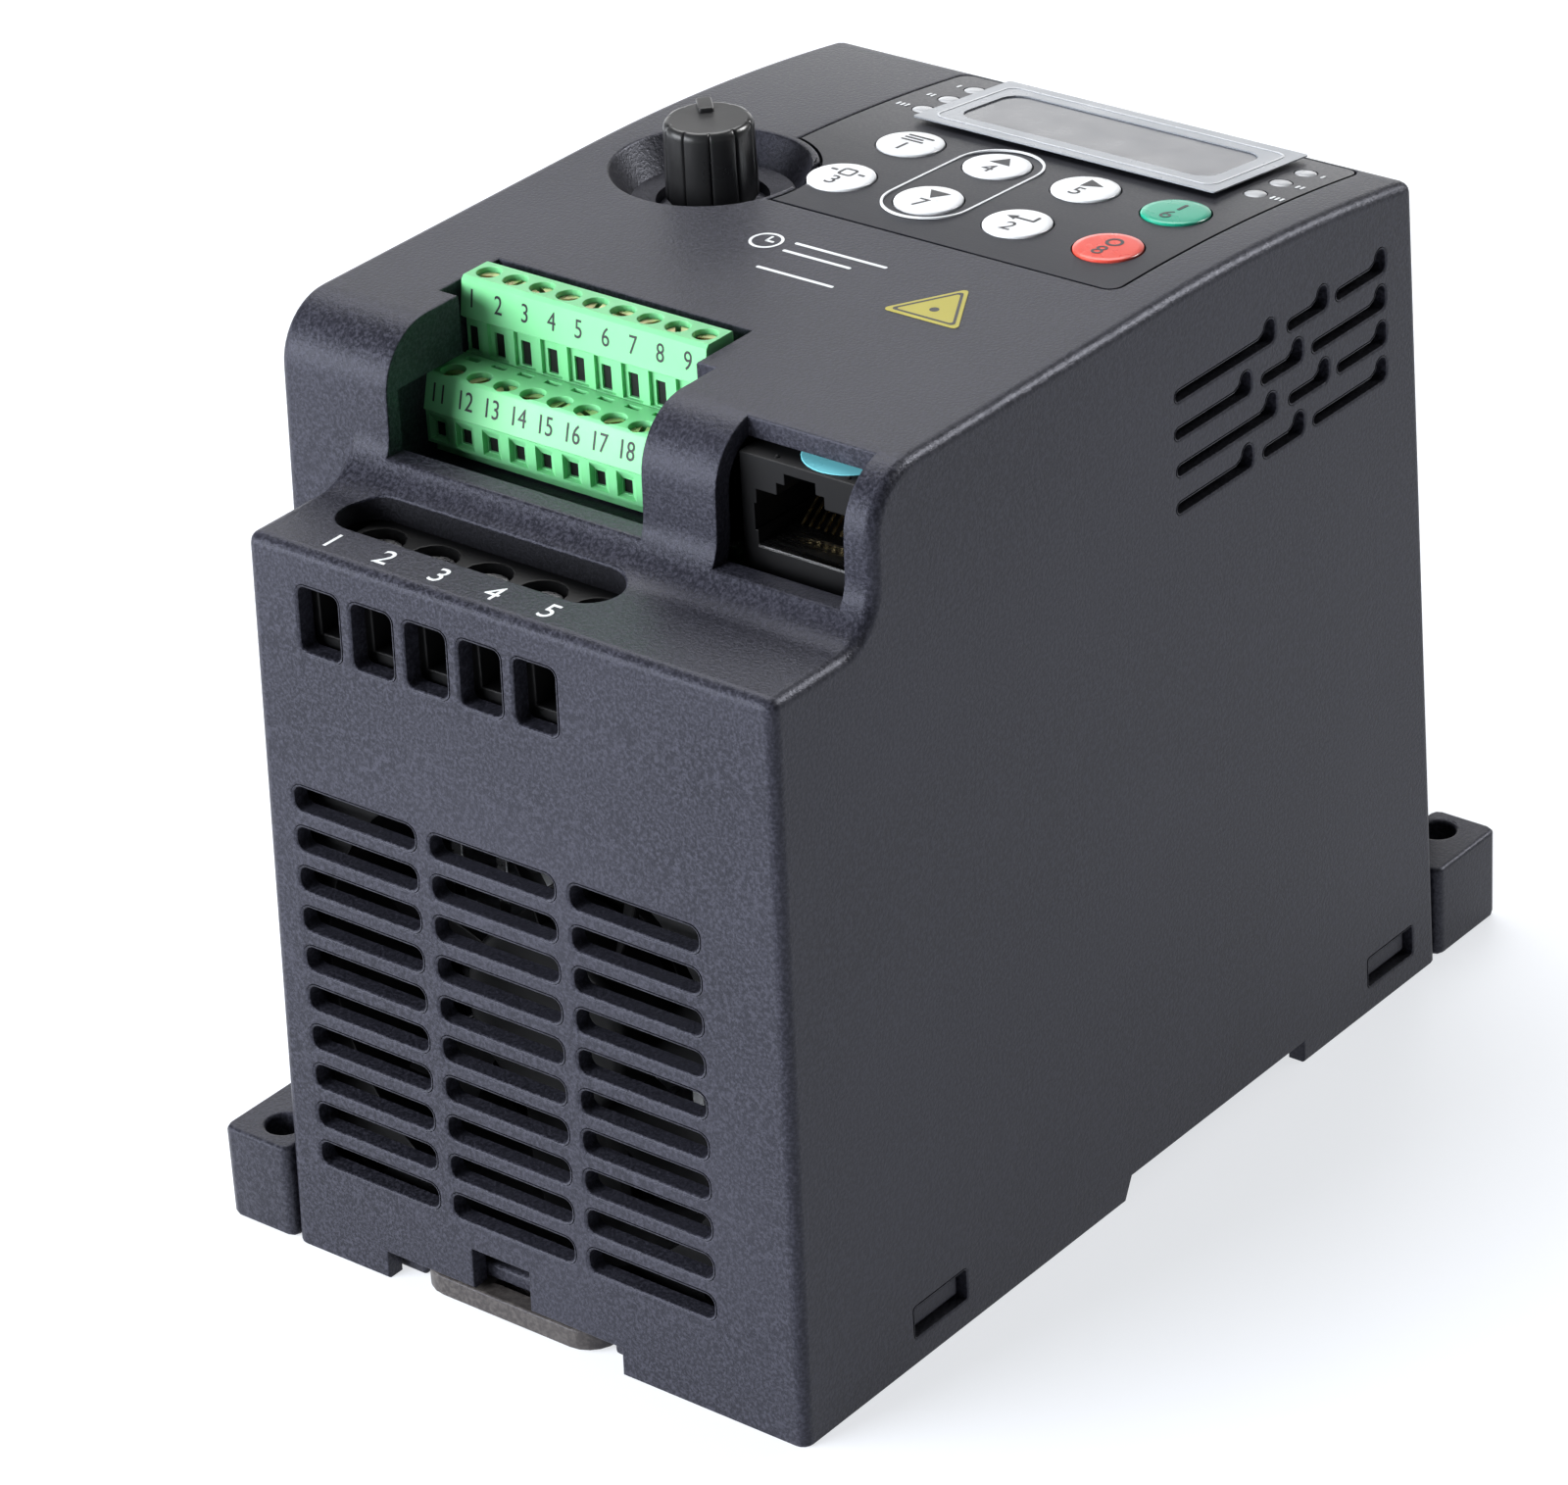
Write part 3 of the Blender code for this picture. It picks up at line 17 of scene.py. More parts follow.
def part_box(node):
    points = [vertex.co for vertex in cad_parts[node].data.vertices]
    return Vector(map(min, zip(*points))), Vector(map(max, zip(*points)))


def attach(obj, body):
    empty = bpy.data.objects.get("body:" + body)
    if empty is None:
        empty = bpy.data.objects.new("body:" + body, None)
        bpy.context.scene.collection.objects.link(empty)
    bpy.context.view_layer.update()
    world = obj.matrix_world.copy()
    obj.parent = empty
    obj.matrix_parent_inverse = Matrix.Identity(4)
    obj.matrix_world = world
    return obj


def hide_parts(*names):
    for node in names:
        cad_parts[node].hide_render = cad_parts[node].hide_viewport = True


MM = 0.001
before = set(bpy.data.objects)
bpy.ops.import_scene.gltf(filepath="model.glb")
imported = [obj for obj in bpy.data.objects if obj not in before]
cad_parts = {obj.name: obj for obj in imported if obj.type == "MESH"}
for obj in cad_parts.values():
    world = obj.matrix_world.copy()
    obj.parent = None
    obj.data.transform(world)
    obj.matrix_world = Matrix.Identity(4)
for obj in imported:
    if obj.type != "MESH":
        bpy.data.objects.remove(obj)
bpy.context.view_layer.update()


def box_mm(node):
    low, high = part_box(node)
    return low / MM, high / MM


COVER_HIGH = box_mm("housing_cover")[1]
BASE_LOW, BASE_HIGH = box_mm("base")

# Shape of the cover, worked out from its box and the same steps as the CAD
HALF_WIDTH = 42.0
NEAR_END = BASE_LOW.y
FAR_END = BASE_HIGH.y
PANEL_Z = COVER_HIGH.z
STEP_Z = 89.5
WALL = 2.2
END_LEAN = 0.031
SIDE_LEAN = 0.0095
LEAN_ANGLE = math.degrees(math.atan(END_LEAN))
TILT = math.hypot(1.0, END_LEAN)
EDGE_RADIUS = 1.4
NEAR_NOTCH_X = -31.9
FAR_NOTCH_X = 32.8
NEAR_NOTCH = 17.2
FAR_NOTCH = 13.2
NEAR_FILLET = 6.0
NEAR_ARC = 7.5
FAR_FILLET = 2.5
CROWN_START = NEAR_END + 72.0
CROWN_RADIUS = 301.0
RAIL_NEAR = NEAR_END + 59.5
RAIL_FAR = NEAR_END + 95.2
RAIL_DEPTH = 2.7

WELL_FLOOR_Z = 88.5
WELL_SILL_Z = 92.8
WELL_LOWER = (-25.3, 10.3)
WELL_UPPER = (-27.9, 7.7)
WELL_JOG_Y = NEAR_END + 33.5
WELL_FAR_Y = NEAR_END + 42.8
JACK_RECESS = (20.4, 37.1)
JACK_SILL_Z = 92.0
JACK_RECESS_FAR_Y = NEAR_END + 26.3

OVERLAY_LOW = (-20.9, NEAR_END + 71.6)
OVERLAY_HIGH = (34.7, NEAR_END + 119.2)
OVERLAY_CORNER = 1.6
DISH_RADIUS = 11.7
DISH_DEPTH = 4.0
DISH_FLOOR_Z = PANEL_Z - DISH_DEPTH
KNOB_X, KNOB_Y = -24.3, NEAR_END + 75.6
KNOB_FACETS = 10
GROOVE_ANGLE = math.radians(94.0)
POINTER_ANGLE = math.radians(135.0)
POINTER_HEIGHT = 0.5
KEY_COLUMNS = (-9.4, 2.9, 15.2, 27.5)
KEY_ROWS = (NEAR_END + 93.4, NEAR_END + 80.6)
DISPLAY_X, DISPLAY_Y = 6.9, NEAR_END + 109.4
LIGHT_COLUMNS = {"left": -16.0, "right": 30.6}
LIGHT_OFFSETS = (5.0, 0.0, -5.0)
CONTROL_LEFT = -27.4
CONTROL_PITCH = 3.81
CONTROL_POLES = 9
POLE_PITCH = 7.6
OUTPUT_FIRST_X = -21.3
MAINS_FIRST_X = -9.1
FLAT = 0.0003
PRINT_LIFT = 0.005
SURFACE_REACH = 0.00003
WINDING_TURNS = 60.0


# ---- outlines


def arc(middle, radius, start, end, steps):
    points = []
    for i in range(steps + 1):
        angle = math.radians(start + (end - start) * i / steps)
        x = middle[0] + radius * math.cos(angle)
        points.append((x, middle[1] + radius * math.sin(angle)))
    return points


def rounded(low, high, radius, steps=4):
    points = []
    for x, y, start in (
        (high[0] - radius, high[1] - radius, 0),
        (low[0] + radius, high[1] - radius, 90),
        (low[0] + radius, low[1] + radius, 180),
        (high[0] - radius, low[1] + radius, 270),
    ):
        points += arc((x, y), radius, start, start + 90, steps)
    return points


def centred(width, height, radius, steps=4, middle=(0.0, 0.0)):
    low = (middle[0] - width / 2, middle[1] - height / 2)
    high = (middle[0] + width / 2, middle[1] + height / 2)
    return rounded(low, high, radius, steps)


def circle(radius, steps=40, middle=(0.0, 0.0)):
    points = []
    for i in range(steps):
        angle = math.tau * i / steps
        points.append((middle[0] + radius * math.cos(angle), middle[1] + radius * math.sin(angle)))
    return points


def grown(outline, distance):
    """An anticlockwise outline moved outwards, with mitred corners."""
    count = len(outline)
    result = []
    for i, point in enumerate(outline):
        before = Vector(point) - Vector(outline[i - 1])
        after = Vector(outline[(i + 1) % count]) - Vector(point)
        first = Vector((before.y, -before.x)).normalized()
        second = Vector((after.y, -after.x)).normalized()
        middle = first + second
        reach = distance * 2 / max(middle.length_squared, 0.3)
        result.append((point[0] + middle.x * reach, point[1] + middle.y * reach))
    return result


# ---- meshes


class Plane:
    """A place to build from: u and v along a surface and n out of it."""

    def __init__(self, origin, u=(1, 0, 0), v=(0, 1, 0), n=(0, 0, 1)):
        self.origin = Vector(origin)
        self.u = Vector(u).normalized()
        self.v = Vector(v).normalized()
        self.n = Vector(n).normalized()

    def at(self, a, b, c=0.0):
        return self.origin + self.u * a + self.v * b + self.n * c

    def ring(self, outline, height):
        return [self.at(a, b, height) for a, b in outline]


def loft(bm, rings):
    """Closed skin through rings of equal length, with flat ends."""
    made = [[bm.verts.new(point) for point in ring] for ring in rings]
    count = len(rings[0])
    faces = [bm.faces.new(made[0]), bm.faces.new(made[-1])]
    for lower, upper in zip(made, made[1:]):
        for i in range(count):
            j = (i + 1) % count
            faces.append(bm.faces.new((lower[i], lower[j], upper[j], upper[i])))
    bmesh.ops.recalc_face_normals(bm, faces=faces)


def slab(bm, plane, outline, low, high, rim=0.0, steps=2):
    """An outline pushed from low to high, its upper rim rounded by rim."""
    rings = [plane.ring(outline, low)]
    if not rim:
        rings.append(plane.ring(outline, high))
    for i in range(steps + 1 if rim else 0):
        angle = math.pi / 2 * i / steps
        inset = rim * (1 - math.cos(angle))
        rings.append(plane.ring(grown(outline, -inset), high - rim + rim * math.sin(angle)))
    loft(bm, rings)


def lipped(bm, plane, outline, depth, lip, steps=3):
    """A cutter that leaves a rounded lip of radius lip where it breaks the surface."""
    bury = 0.012
    rings = [plane.ring(grown(outline, lip), 2.0)]
    for i in range(steps + 1):
        angle = math.pi / 2 * i / steps
        grow = lip * (1 - math.sin(angle))
        height = -bury - lip * (1 - math.cos(angle))
        rings.append(plane.ring(grown(outline, grow), height))
    rings.append(plane.ring(outline, -depth))
    loft(bm, rings)


def block(bm, low, high):
    outline = [(low[0], low[1]), (high[0], low[1]), (high[0], high[1]), (low[0], high[1])]
    along_z(bm, outline, low[2], high[2])


def along_x(bm, outline, low, high):
    """A block along X from an outline in (y, z)."""
    loft(bm, [[(x, y, z) for y, z in outline] for x in (low, high)])


def along_z(bm, outline, low, high):
    """A block along Z from an outline in (x, y)."""
    loft(bm, [[(x, y, z) for x, y in outline] for z in (low, high)])


def turned(bm, middle, profile, steps=48, plane=None):
    """A solid of revolution from (radius, height) pairs, first to last along n."""
    plane = plane or Plane(middle)
    loft(bm, [plane.ring(circle(radius, steps), height) for radius, height in profile])


def tube(bm, path, radius, sides=8):
    """A round bar along a list of points."""
    points = [Vector(point) for point in path]
    rings = []
    for i, point in enumerate(points):
        ahead = points[min(i + 1, len(points) - 1)] - points[max(i - 1, 0)]
        turn = ahead.to_track_quat("Z", "Y")
        rings.append([point + turn @ Vector((x, y, 0)) for x, y in circle(radius, sides)])
    loft(bm, rings)


def new_object(name, bm):
    for vert in bm.verts:
        vert.co *= MM
    mesh = bpy.data.meshes.new(name)
    bm.to_mesh(mesh)
    bm.free()
    made = bpy.data.objects.new(name, mesh)
    bpy.context.scene.collection.objects.link(made)
    return made


def boolean(target, operation, *others):
    for other in others:
        added = target.modifiers.new(other.name, "BOOLEAN")
        added.operation = operation
        added.solver = "EXACT"
        added.object = other


def apply(target, *spent):
    graph = bpy.context.evaluated_depsgraph_get()
    mesh = bpy.data.meshes.new_from_object(target.evaluated_get(graph))
    target.modifiers.clear()
    target.data = mesh
    for other in spent:
        bpy.data.objects.remove(other, do_unlink=True)


@contextmanager
def cut(target):
    """A cutter to fill in, which is then taken away from the target for good."""
    bm = bmesh.new()
    yield bm
    cutter = new_object("cutter", bm)
    boolean(target, "DIFFERENCE", cutter)
    apply(target, cutter)


@contextmanager
def edited(mesh):
    bm = bmesh.new()
    bm.from_mesh(mesh)
    yield bm
    bm.to_mesh(mesh)
    bm.free()


def tidy(target, angle=0.0005):
    """Merge split points and drop edges that lie flat."""
    with edited(target.data) as bm:
        bmesh.ops.remove_doubles(bm, verts=bm.verts[:], dist=1e-6)
        dissolve_flat(bm, angle)


def dissolve_flat(bm, angle):
    bmesh.ops.dissolve_limit(bm, angle_limit=angle, verts=bm.verts[:], edges=bm.edges[:])


def sharp_edges(bm, angle):
    """Edges that turn outwards by more than angle, in degrees."""
    limit = math.radians(angle)
    return [
        edge
        for edge in bm.edges
        if len(edge.link_faces) == 2 and edge.calc_face_angle_signed() > limit
    ]


def bevel(bm, edges, width, segments, clamp=False):
    bmesh.ops.bevel(
        bm, geom=edges, offset=width * MM, segments=segments, profile=0.5, affect="EDGES",
        clamp_overlap=clamp,
    )


def soften(target, width, segments, angle):
    """Round the outward edges sharper than angle, as far as there is room."""
    with edited(target.data) as bm:
        bevel(bm, sharp_edges(bm, angle), width, segments, clamp=True)


def smooth(target, angle=32.0):
    target.data.shade_smooth()
    target.data.set_sharp_from_angle(angle=math.radians(angle))
    added = target.modifiers.new("even_normals", "WEIGHTED_NORMAL")
    added.keep_sharp = True
    added.weight = 80


def finish(target, look, body="housing", stands_for=(), angle=32.0):
    """Shade a piece, dress it and hang it on a body."""
    smooth(target, angle)
    target.data.materials.clear()
    target.data.materials.append(looks[look])
    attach(target, body)
    if stands_for:
        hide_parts(*stands_for)


@contextmanager
def piece(name, look, slot, body="housing", stands_for=(), angle=32.0):
    """A mesh to fill in, which then becomes a finished piece."""
    bm = bmesh.new()
    yield bm
    finish(new_object(name, bm), look, body, stands_for, angle)


# ---- materials


def set_sockets(node, values):
    for socket, value in values.items():
        node.inputs[socket.replace("_", " ")].default_value = value


class Look:
    """Builds one node material with object coordinates in metres."""

    def __init__(self, name, colour, roughness=0.5, metallic=0.0, **sockets):
        self.material = bpy.data.materials.new(name)
        self.material.use_nodes = True
        self.tree = self.material.node_tree
        self.shader = self.tree.nodes["Principled BSDF"]
        self.place = self.node("TexCoord").outputs["Object"]
        self.base = (*colour, 1.0)
        self.rough = roughness
        self.colour = self.height = None
        set_sockets(
            self.shader,
            {"Base_Color": self.base, "Roughness": roughness, "Metallic": metallic, **sockets},
        )

    def node(self, kind, **values):
        made = self.tree.nodes.new("ShaderNode" + kind)
        set_sockets(made, values)
        return made

    def join(self, start, end):
        self.tree.links.new(start, end)

    def noise(self, per_metre, detail=4.0, rough=0.6, stretch=None):
        """Noise whose grains are about one part in per_metre of a metre."""
        node = self.node("TexNoise", Scale=per_metre, Detail=detail, Roughness=rough)
        place = self.place
        if stretch:
            mapping = self.node("Mapping", Scale=stretch)
            self.join(place, mapping.inputs["Vector"])
            place = mapping.outputs["Vector"]
        self.join(place, node.inputs["Vector"])
        return node.outputs["Fac"]

    def remap(self, value, low, high, out_low, out_high):
        node = self.node(
            "MapRange", From_Min=low, From_Max=high, To_Min=out_low, To_Max=out_high
        )
        self.join(value, node.inputs["Value"])
        return node.outputs["Result"]

    def calculate(self, operation, *values):
        node = self.node("Math")
        node.operation = operation
        for socket, value in zip(node.inputs, values):
            if isinstance(value, float):
                socket.default_value = value
            else:
                self.join(value, socket)
        return node.outputs[0]

    def tint(self, factor, colour):
        """Mix another colour over the base by factor."""
        node = self.node("Mix")
        node.data_type = "RGBA"
        under, over = node.inputs[6], node.inputs[7]
        if self.colour is None:
            under.default_value = self.base
        else:
            self.join(self.colour, under)
        over.default_value = (*colour, 1.0)
        self.join(factor, node.inputs["Factor"])
        self.colour = node.outputs[2]
        self.join(self.colour, self.shader.inputs["Base Color"])

    def vary_roughness(self, value, low, high, spread):
        out = self.remap(value, low, high, self.rough - spread, self.rough + spread)
        self.join(out, self.shader.inputs["Roughness"])

    def bump(self, height, distance):
        node = self.node("Bump", Distance=distance, Strength=1.0)
        self.join(height, node.inputs["Height"])
        if self.height is not None:
            self.join(self.height, node.inputs["Normal"])
        self.height = node.outputs["Normal"]
        self.join(self.height, self.shader.inputs["Normal"])


def textured_plastic(name, colour, worn, roughness=0.5, grain=2400.0, depth=0.00007):
    """Spark-eroded moulded plastic: fine grain, faint mottling and pale rub marks."""
    look = Look(
        name, colour, roughness, Specular_IOR_Level=0.27, Specular_Tint=(0.82, 0.84, 1.0, 1.0)
    )
    fine = look.noise(grain, 2.0, 0.7)
    cloud = look.noise(28.0, 3.0, 0.5)
    rub = look.noise(260.0, 5.0, 0.75)
    look.tint(look.remap(cloud, 0.35, 0.7, 0.0, 0.28), worn)
    look.tint(look.remap(fine, 0.42, 0.66, 0.0, 0.9), worn)
    look.tint(look.remap(rub, 0.72, 0.8, 0.0, 0.5), [c * 2.2 for c in worn])
    look.vary_roughness(fine, 0.3, 0.7, 0.07)
    look.bump(fine, depth)
    return look.material


def moulded(name, colour, roughness, cloud=0.18, grain=1600.0, depth=0.000006, **sockets):
    """Smoother moulded plastic: slight mottling, fine grain and uneven gloss."""
    look = Look(name, colour, roughness, **sockets)
    paler = [min(1.0, channel * 1.35 + 0.004) for channel in colour]
    mottle = look.noise(150.0, 3.0, 0.55)
    fine = look.noise(grain, 2.0, 0.6)
    look.tint(look.remap(mottle, 0.35, 0.7, 0.0, cloud), paler)
    look.vary_roughness(mottle, 0.3, 0.7, 0.06)
    look.bump(fine, depth)
    return look.material


def metal(name, colour, roughness, stretch=(1.0, 1.0, 1.0), scratches=900.0):
    """Metal with fine drawn scratches along one direction and dull patches."""
    look = Look(name, colour, roughness, 1.0)
    lines = look.noise(scratches, 3.0, 0.7, stretch)
    dull = look.noise(180.0, 3.0, 0.6)
    darker = [channel * 0.55 for channel in colour]
    look.tint(look.remap(dull, 0.5, 0.75, 0.0, 0.45), darker)
    look.vary_roughness(lines, 0.3, 0.7, 0.1)
    look.bump(lines, 0.000008)
    return look.material


def make_looks():
    body = (0.0094, 0.0096, 0.0138)
    return {
        "cover": textured_plastic("cover_plastic", body, (0.038, 0.038, 0.051), 0.42),
        "base": textured_plastic("base_plastic", body, (0.036, 0.036, 0.047), 0.45),
        # Painted shade: a near-black copy of the cover plastic for the slot walls that the lamps
        # don't reach
        "inside": textured_plastic(
            "cover_painted_slot_shade", (0.003, 0.003, 0.0035), (0.008, 0.008, 0.01), 0.6
        ),
        "clip": textured_plastic(
            "clip_plastic", (0.035, 0.031, 0.03), (0.075, 0.068, 0.064), 0.38, 1500, 0.00001
        ),
        "overlay": textured_plastic(
            "overlay_plastic", (0.0095, 0.0098, 0.0125), (0.021, 0.0215, 0.027), 0.36, 3200,
            0.000008,
        ),
        "green": moulded(
            "terminal_green", (0.165, 0.52, 0.235), 0.38, Subsurface_Weight=0.15,
            Subsurface_Radius=(0.4, 1.0, 0.4), Subsurface_Scale=0.0015,
        ),
        "component": moulded(
            "component_plastic", (0.006, 0.006, 0.0065), 0.5, Specular_IOR_Level=0.3
        ),
        "jack": moulded("jack_plastic", (0.005, 0.005, 0.0055), 0.5, Specular_IOR_Level=0.22),
        "knob": moulded("knob_plastic", (0.014, 0.014, 0.0145), 0.3),
        "white_cap": moulded("key_white", (0.84, 0.86, 0.88), 0.3, 0.1),
        "green_cap": moulded("key_green", (0.012, 0.34, 0.21), 0.28),
        "red_cap": moulded("key_red", (0.74, 0.08, 0.055), 0.28),
        "lens": moulded("light_lens", (0.42, 0.43, 0.45), 0.3),
        "ink": moulded("dark_ink", (0.015, 0.016, 0.02), 0.5),
        "white_ink": moulded("white_ink", (0.72, 0.74, 0.76), 0.5, 0.3),
        "yellow": moulded("badge_yellow", (0.39, 0.34, 0.03), 0.42),
        "teal": moulded("dot_teal", (0.17, 0.56, 0.64), 0.3),
        "film": moulded("film_frosted", (0.27, 0.29, 0.32), 0.3, 0.12, 900.0, 0.000004),
        "bead": moulded("film_bead", (0.48, 0.5, 0.53), 0.25),
        "haze": moulded(
            "film_clear", (0.07, 0.075, 0.09), 0.2, 0.12, Specular_IOR_Level=0.34
        ),
        "window": moulded(
            "display_smoke", (0.04, 0.043, 0.052), 0.14, 0.2, Specular_IOR_Level=0.3
        ),
        "steel": metal("zinc_steel", (0.62, 0.62, 0.64), 0.32),
        "tin": metal("tinned_edge", (0.8, 0.8, 0.8), 0.25, (0.1, 1.0, 1.0)),
        "brass": metal("screw_brass", (0.62, 0.52, 0.32), 0.3, (1.0, 0.2, 1.0)),
        "gold": metal("contact_gold", (0.9, 0.7, 0.35), 0.2),
        "aluminium": metal("extruded_aluminium", (0.74, 0.75, 0.77), 0.36, (1.0, 0.04, 1.0)),
        "winding": winding_look(),
        "board": board_look(),
        "sleeve": moulded("shrink_sleeve", (0.012, 0.02, 0.07), 0.28),
    }


def winding_look():
    """Enamelled copper wire lying side by side round the ring."""
    look = Look("enamelled_copper", (0.55, 0.2, 0.07), 0.3, 1.0)
    low, high = box_mm("emc_choke")
    middle = (low + high) / 2 * MM
    mapping = look.node("Mapping", Location=[-c for c in middle])
    look.join(look.place, mapping.inputs["Vector"])
    split = look.node("SeparateXYZ")
    look.join(mapping.outputs["Vector"], split.inputs["Vector"])
    turn = look.calculate("ARCTAN2", split.outputs["Y"], split.outputs["X"])
    wave = look.calculate("SINE", look.calculate("MULTIPLY", turn, WINDING_TURNS))
    look.bump(wave, 0.0003)
    # Painted shade: the grooves between turns are tinted darker, where the wires meet
    look.tint(look.remap(wave, -1.0, -0.3, 0.75, 0.0), (0.12, 0.035, 0.012))
    return look.material


def board_look():
    """Green solder mask over faint tracks."""
    look = Look("solder_mask", (0.012, 0.12, 0.05), 0.35)
    tracks = look.node("TexBrick", Scale=180.0, Mortar_Size=0.03)
    look.join(look.place, tracks.inputs["Vector"])
    look.tint(look.remap(tracks.outputs["Fac"], 0.0, 1.0, 0.0, 0.7), (0.03, 0.22, 0.09))
    look.bump(tracks.outputs["Fac"], 0.00003)
    look.vary_roughness(look.noise(300.0, 3.0, 0.6), 0.3, 0.7, 0.08)
    return look.material


# ---- cover


def near_face(z):
    return NEAR_END + END_LEAN * z


def far_face(z):
    return FAR_END - END_LEAN * z


def near_wall(z):
    return NEAR_END + NEAR_NOTCH + END_LEAN * z


def far_wall(z):
    return FAR_END - FAR_NOTCH - END_LEAN * z


def panel_height(y):
    return PANEL_Z - max(0.0, y - CROWN_START) ** 2 / (2 * CROWN_RADIUS)


def panel_slope(y):
    return max(0.0, y - CROWN_START) / CROWN_RADIUS


def panel_plane(x, y):
    """A plane that touches the panel over (x, y), u to the right and v to the far end."""
    slope = panel_slope(y)
    return Plane((x, y, panel_height(y)), (1, 0, 0), (0, 1, -slope), (0, slope, 1))


def half_width(z):
    return HALF_WIDTH - SIDE_LEAN * z


def side_prism(outline, low_x, high_x):
    """A block along X from an outline in (y, z), narrowed with height as the sides lean."""
    bm = bmesh.new()
    rings = []
    for x in (low_x, high_x):
        rings.append([(x * half_width(z) / HALF_WIDTH, y, z) for y, z in outline])
    loft(bm, rings)
    return bm


def near_rise(inset, steps):
    """Fillet from the output step up to the wall behind it."""
    z = STEP_Z + NEAR_FILLET
    middle = (near_wall(z) - NEAR_FILLET * TILT, z)
    return arc(middle, NEAR_FILLET + inset, -90, -LEAN_ANGLE, steps)


def far_rise(inset, steps):
    z = STEP_Z + FAR_FILLET
    middle = (far_wall(z) + FAR_FILLET * TILT, z)
    return arc(middle, FAR_FILLET + inset, 180 + LEAN_ANGLE, 270, steps // 2)


def brow(inset, steps):
    """Large arc from the wall over to the keypad panel."""
    z = PANEL_Z - NEAR_ARC
    middle = (near_wall(z) + NEAR_ARC * TILT, z)
    return arc(middle, NEAR_ARC - inset, 180 - LEAN_ANGLE, 90, steps)


def crown(inset, steps):
    """The panel from where it starts to fall away to the mains side wall."""
    end_y = far_wall(PANEL_Z) - inset
    points = []
    for i in range(steps * 2 + 1):
        y = CROWN_START + (end_y - CROWN_START) * i / (steps * 2)
        points.append((y, panel_height(y) - inset))
    end_z = points[-1][1]
    points[-1] = (far_wall(end_z) - inset * TILT, end_z)
    return points


def cover_solid(name, inset, bottom, steps, edge=0.0):
    """Two leaning prisms that share the panel and leave the corner notches free."""
    top = brow(inset, steps) + crown(inset, steps)
    output = [(near_face(bottom) + inset, bottom)]
    output += [(near_face(STEP_Z) + inset, STEP_Z - inset)]
    output += near_rise(inset, steps) + top
    output += [(far_wall(bottom) - inset * TILT, bottom)]
    mains = [(near_wall(bottom) + inset * TILT, bottom)] + top + far_rise(inset, steps)
    mains += [(far_face(STEP_Z) - inset, STEP_Z - inset)]
    mains += [(far_face(bottom) - inset, bottom)]
    left, right = -HALF_WIDTH + inset, HALF_WIDTH - inset
    pieces = [
        new_object(name, side_prism(output, NEAR_NOTCH_X + inset, right)),
        new_object(name + "_other", side_prism(mains, left, FAR_NOTCH_X - inset)),
    ]
    if edge:
        for piece in pieces:
            rounding = piece.modifiers.new("edges", "BEVEL")
            rounding.width = edge * MM
            rounding.segments = 4
            rounding.limit_method = "ANGLE"
            rounding.angle_limit = math.radians(40)
    boolean(pieces[0], "UNION", pieces[1])
    apply(pieces[0], pieces[1])
    tidy(pieces[0])
    return pieces[0]


def overlay_outline(grow):
    low = (OVERLAY_LOW[0] - grow, OVERLAY_LOW[1] - grow)
    high = (OVERLAY_HIGH[0] + grow, OVERLAY_HIGH[1] + grow)
    return rounded(low, high, OVERLAY_CORNER + grow, 6)


def draped(bm, low, high):
    """A vertical block whose floor and roof follow the panel, low and high above it."""
    steps = 20
    near, far = OVERLAY_LOW[1] - 3.0, OVERLAY_HIGH[1] + 3.0
    left, right = OVERLAY_LOW[0] - 3.0, OVERLAY_HIGH[0] + 3.0
    places = [near + (far - near) * i / steps for i in range(steps + 1)]
    strip = [(y, panel_height(y) + high) for y in places]
    strip += [(y, panel_height(y) + low) for y in reversed(places)]
    along_x(bm, strip, left, right)


def trimmed_strip(name, outline, low, high, bite):
    """The draped strip trimmed to an outline, less a round bite at the knob."""
    bm = bmesh.new()
    draped(bm, low, high)
    strip = new_object(name, bm)
    bm = bmesh.new()
    along_z(bm, outline, 80.0, 125.0)
    limit = new_object("limit", bm)
    bm = bmesh.new()
    turned(bm, (KNOB_X, KNOB_Y, 80.0), [(bite, 0.0), (bite, 50.0)], 64)
    round_bite = new_object("bite", bm)
    boolean(strip, "INTERSECT", limit)
    boolean(strip, "DIFFERENCE", round_bite)
    apply(strip, limit, round_bite)
    return strip


def recesses(cover):
    """Control well, jack recess, knob dish and overlay seat, cut while the cover is solid."""
    top = PANEL_Z + 6
    well_near, recess_near = near_wall(WELL_FLOOR_Z) + WALL, NEAR_END + 8
    for low, high in (
        ((WELL_LOWER[0], recess_near, WELL_SILL_Z), (WELL_LOWER[1], WELL_JOG_Y, top)),
        ((WELL_UPPER[0], WELL_JOG_Y - 0.5, WELL_FLOOR_Z), (WELL_UPPER[1], WELL_FAR_Y, top)),
        ((WELL_UPPER[0], well_near, WELL_FLOOR_Z), (WELL_LOWER[1], WELL_JOG_Y, 100.0)),
        ((JACK_RECESS[0], recess_near, JACK_SILL_Z), (JACK_RECESS[1], JACK_RECESS_FAR_Y, top)),
    ):
        with cut(cover) as bm:
            block(bm, low, high)
    with cut(cover) as bm:
        profile = [(DISH_RADIUS - 2.2, -DISH_DEPTH), (DISH_RADIUS - 0.15, -0.3)]
        profile += [(DISH_RADIUS, -0.1), (DISH_RADIUS + 0.25, 0.012), (DISH_RADIUS + 0.25, 3.0)]
        turned(bm, (KNOB_X, KNOB_Y, PANEL_Z), profile, 96)
    seat = trimmed_strip("seat", overlay_outline(0.22), -1.35, 3.0, DISH_RADIUS + 0.7)
    boolean(cover, "DIFFERENCE", seat)
    apply(cover, seat)


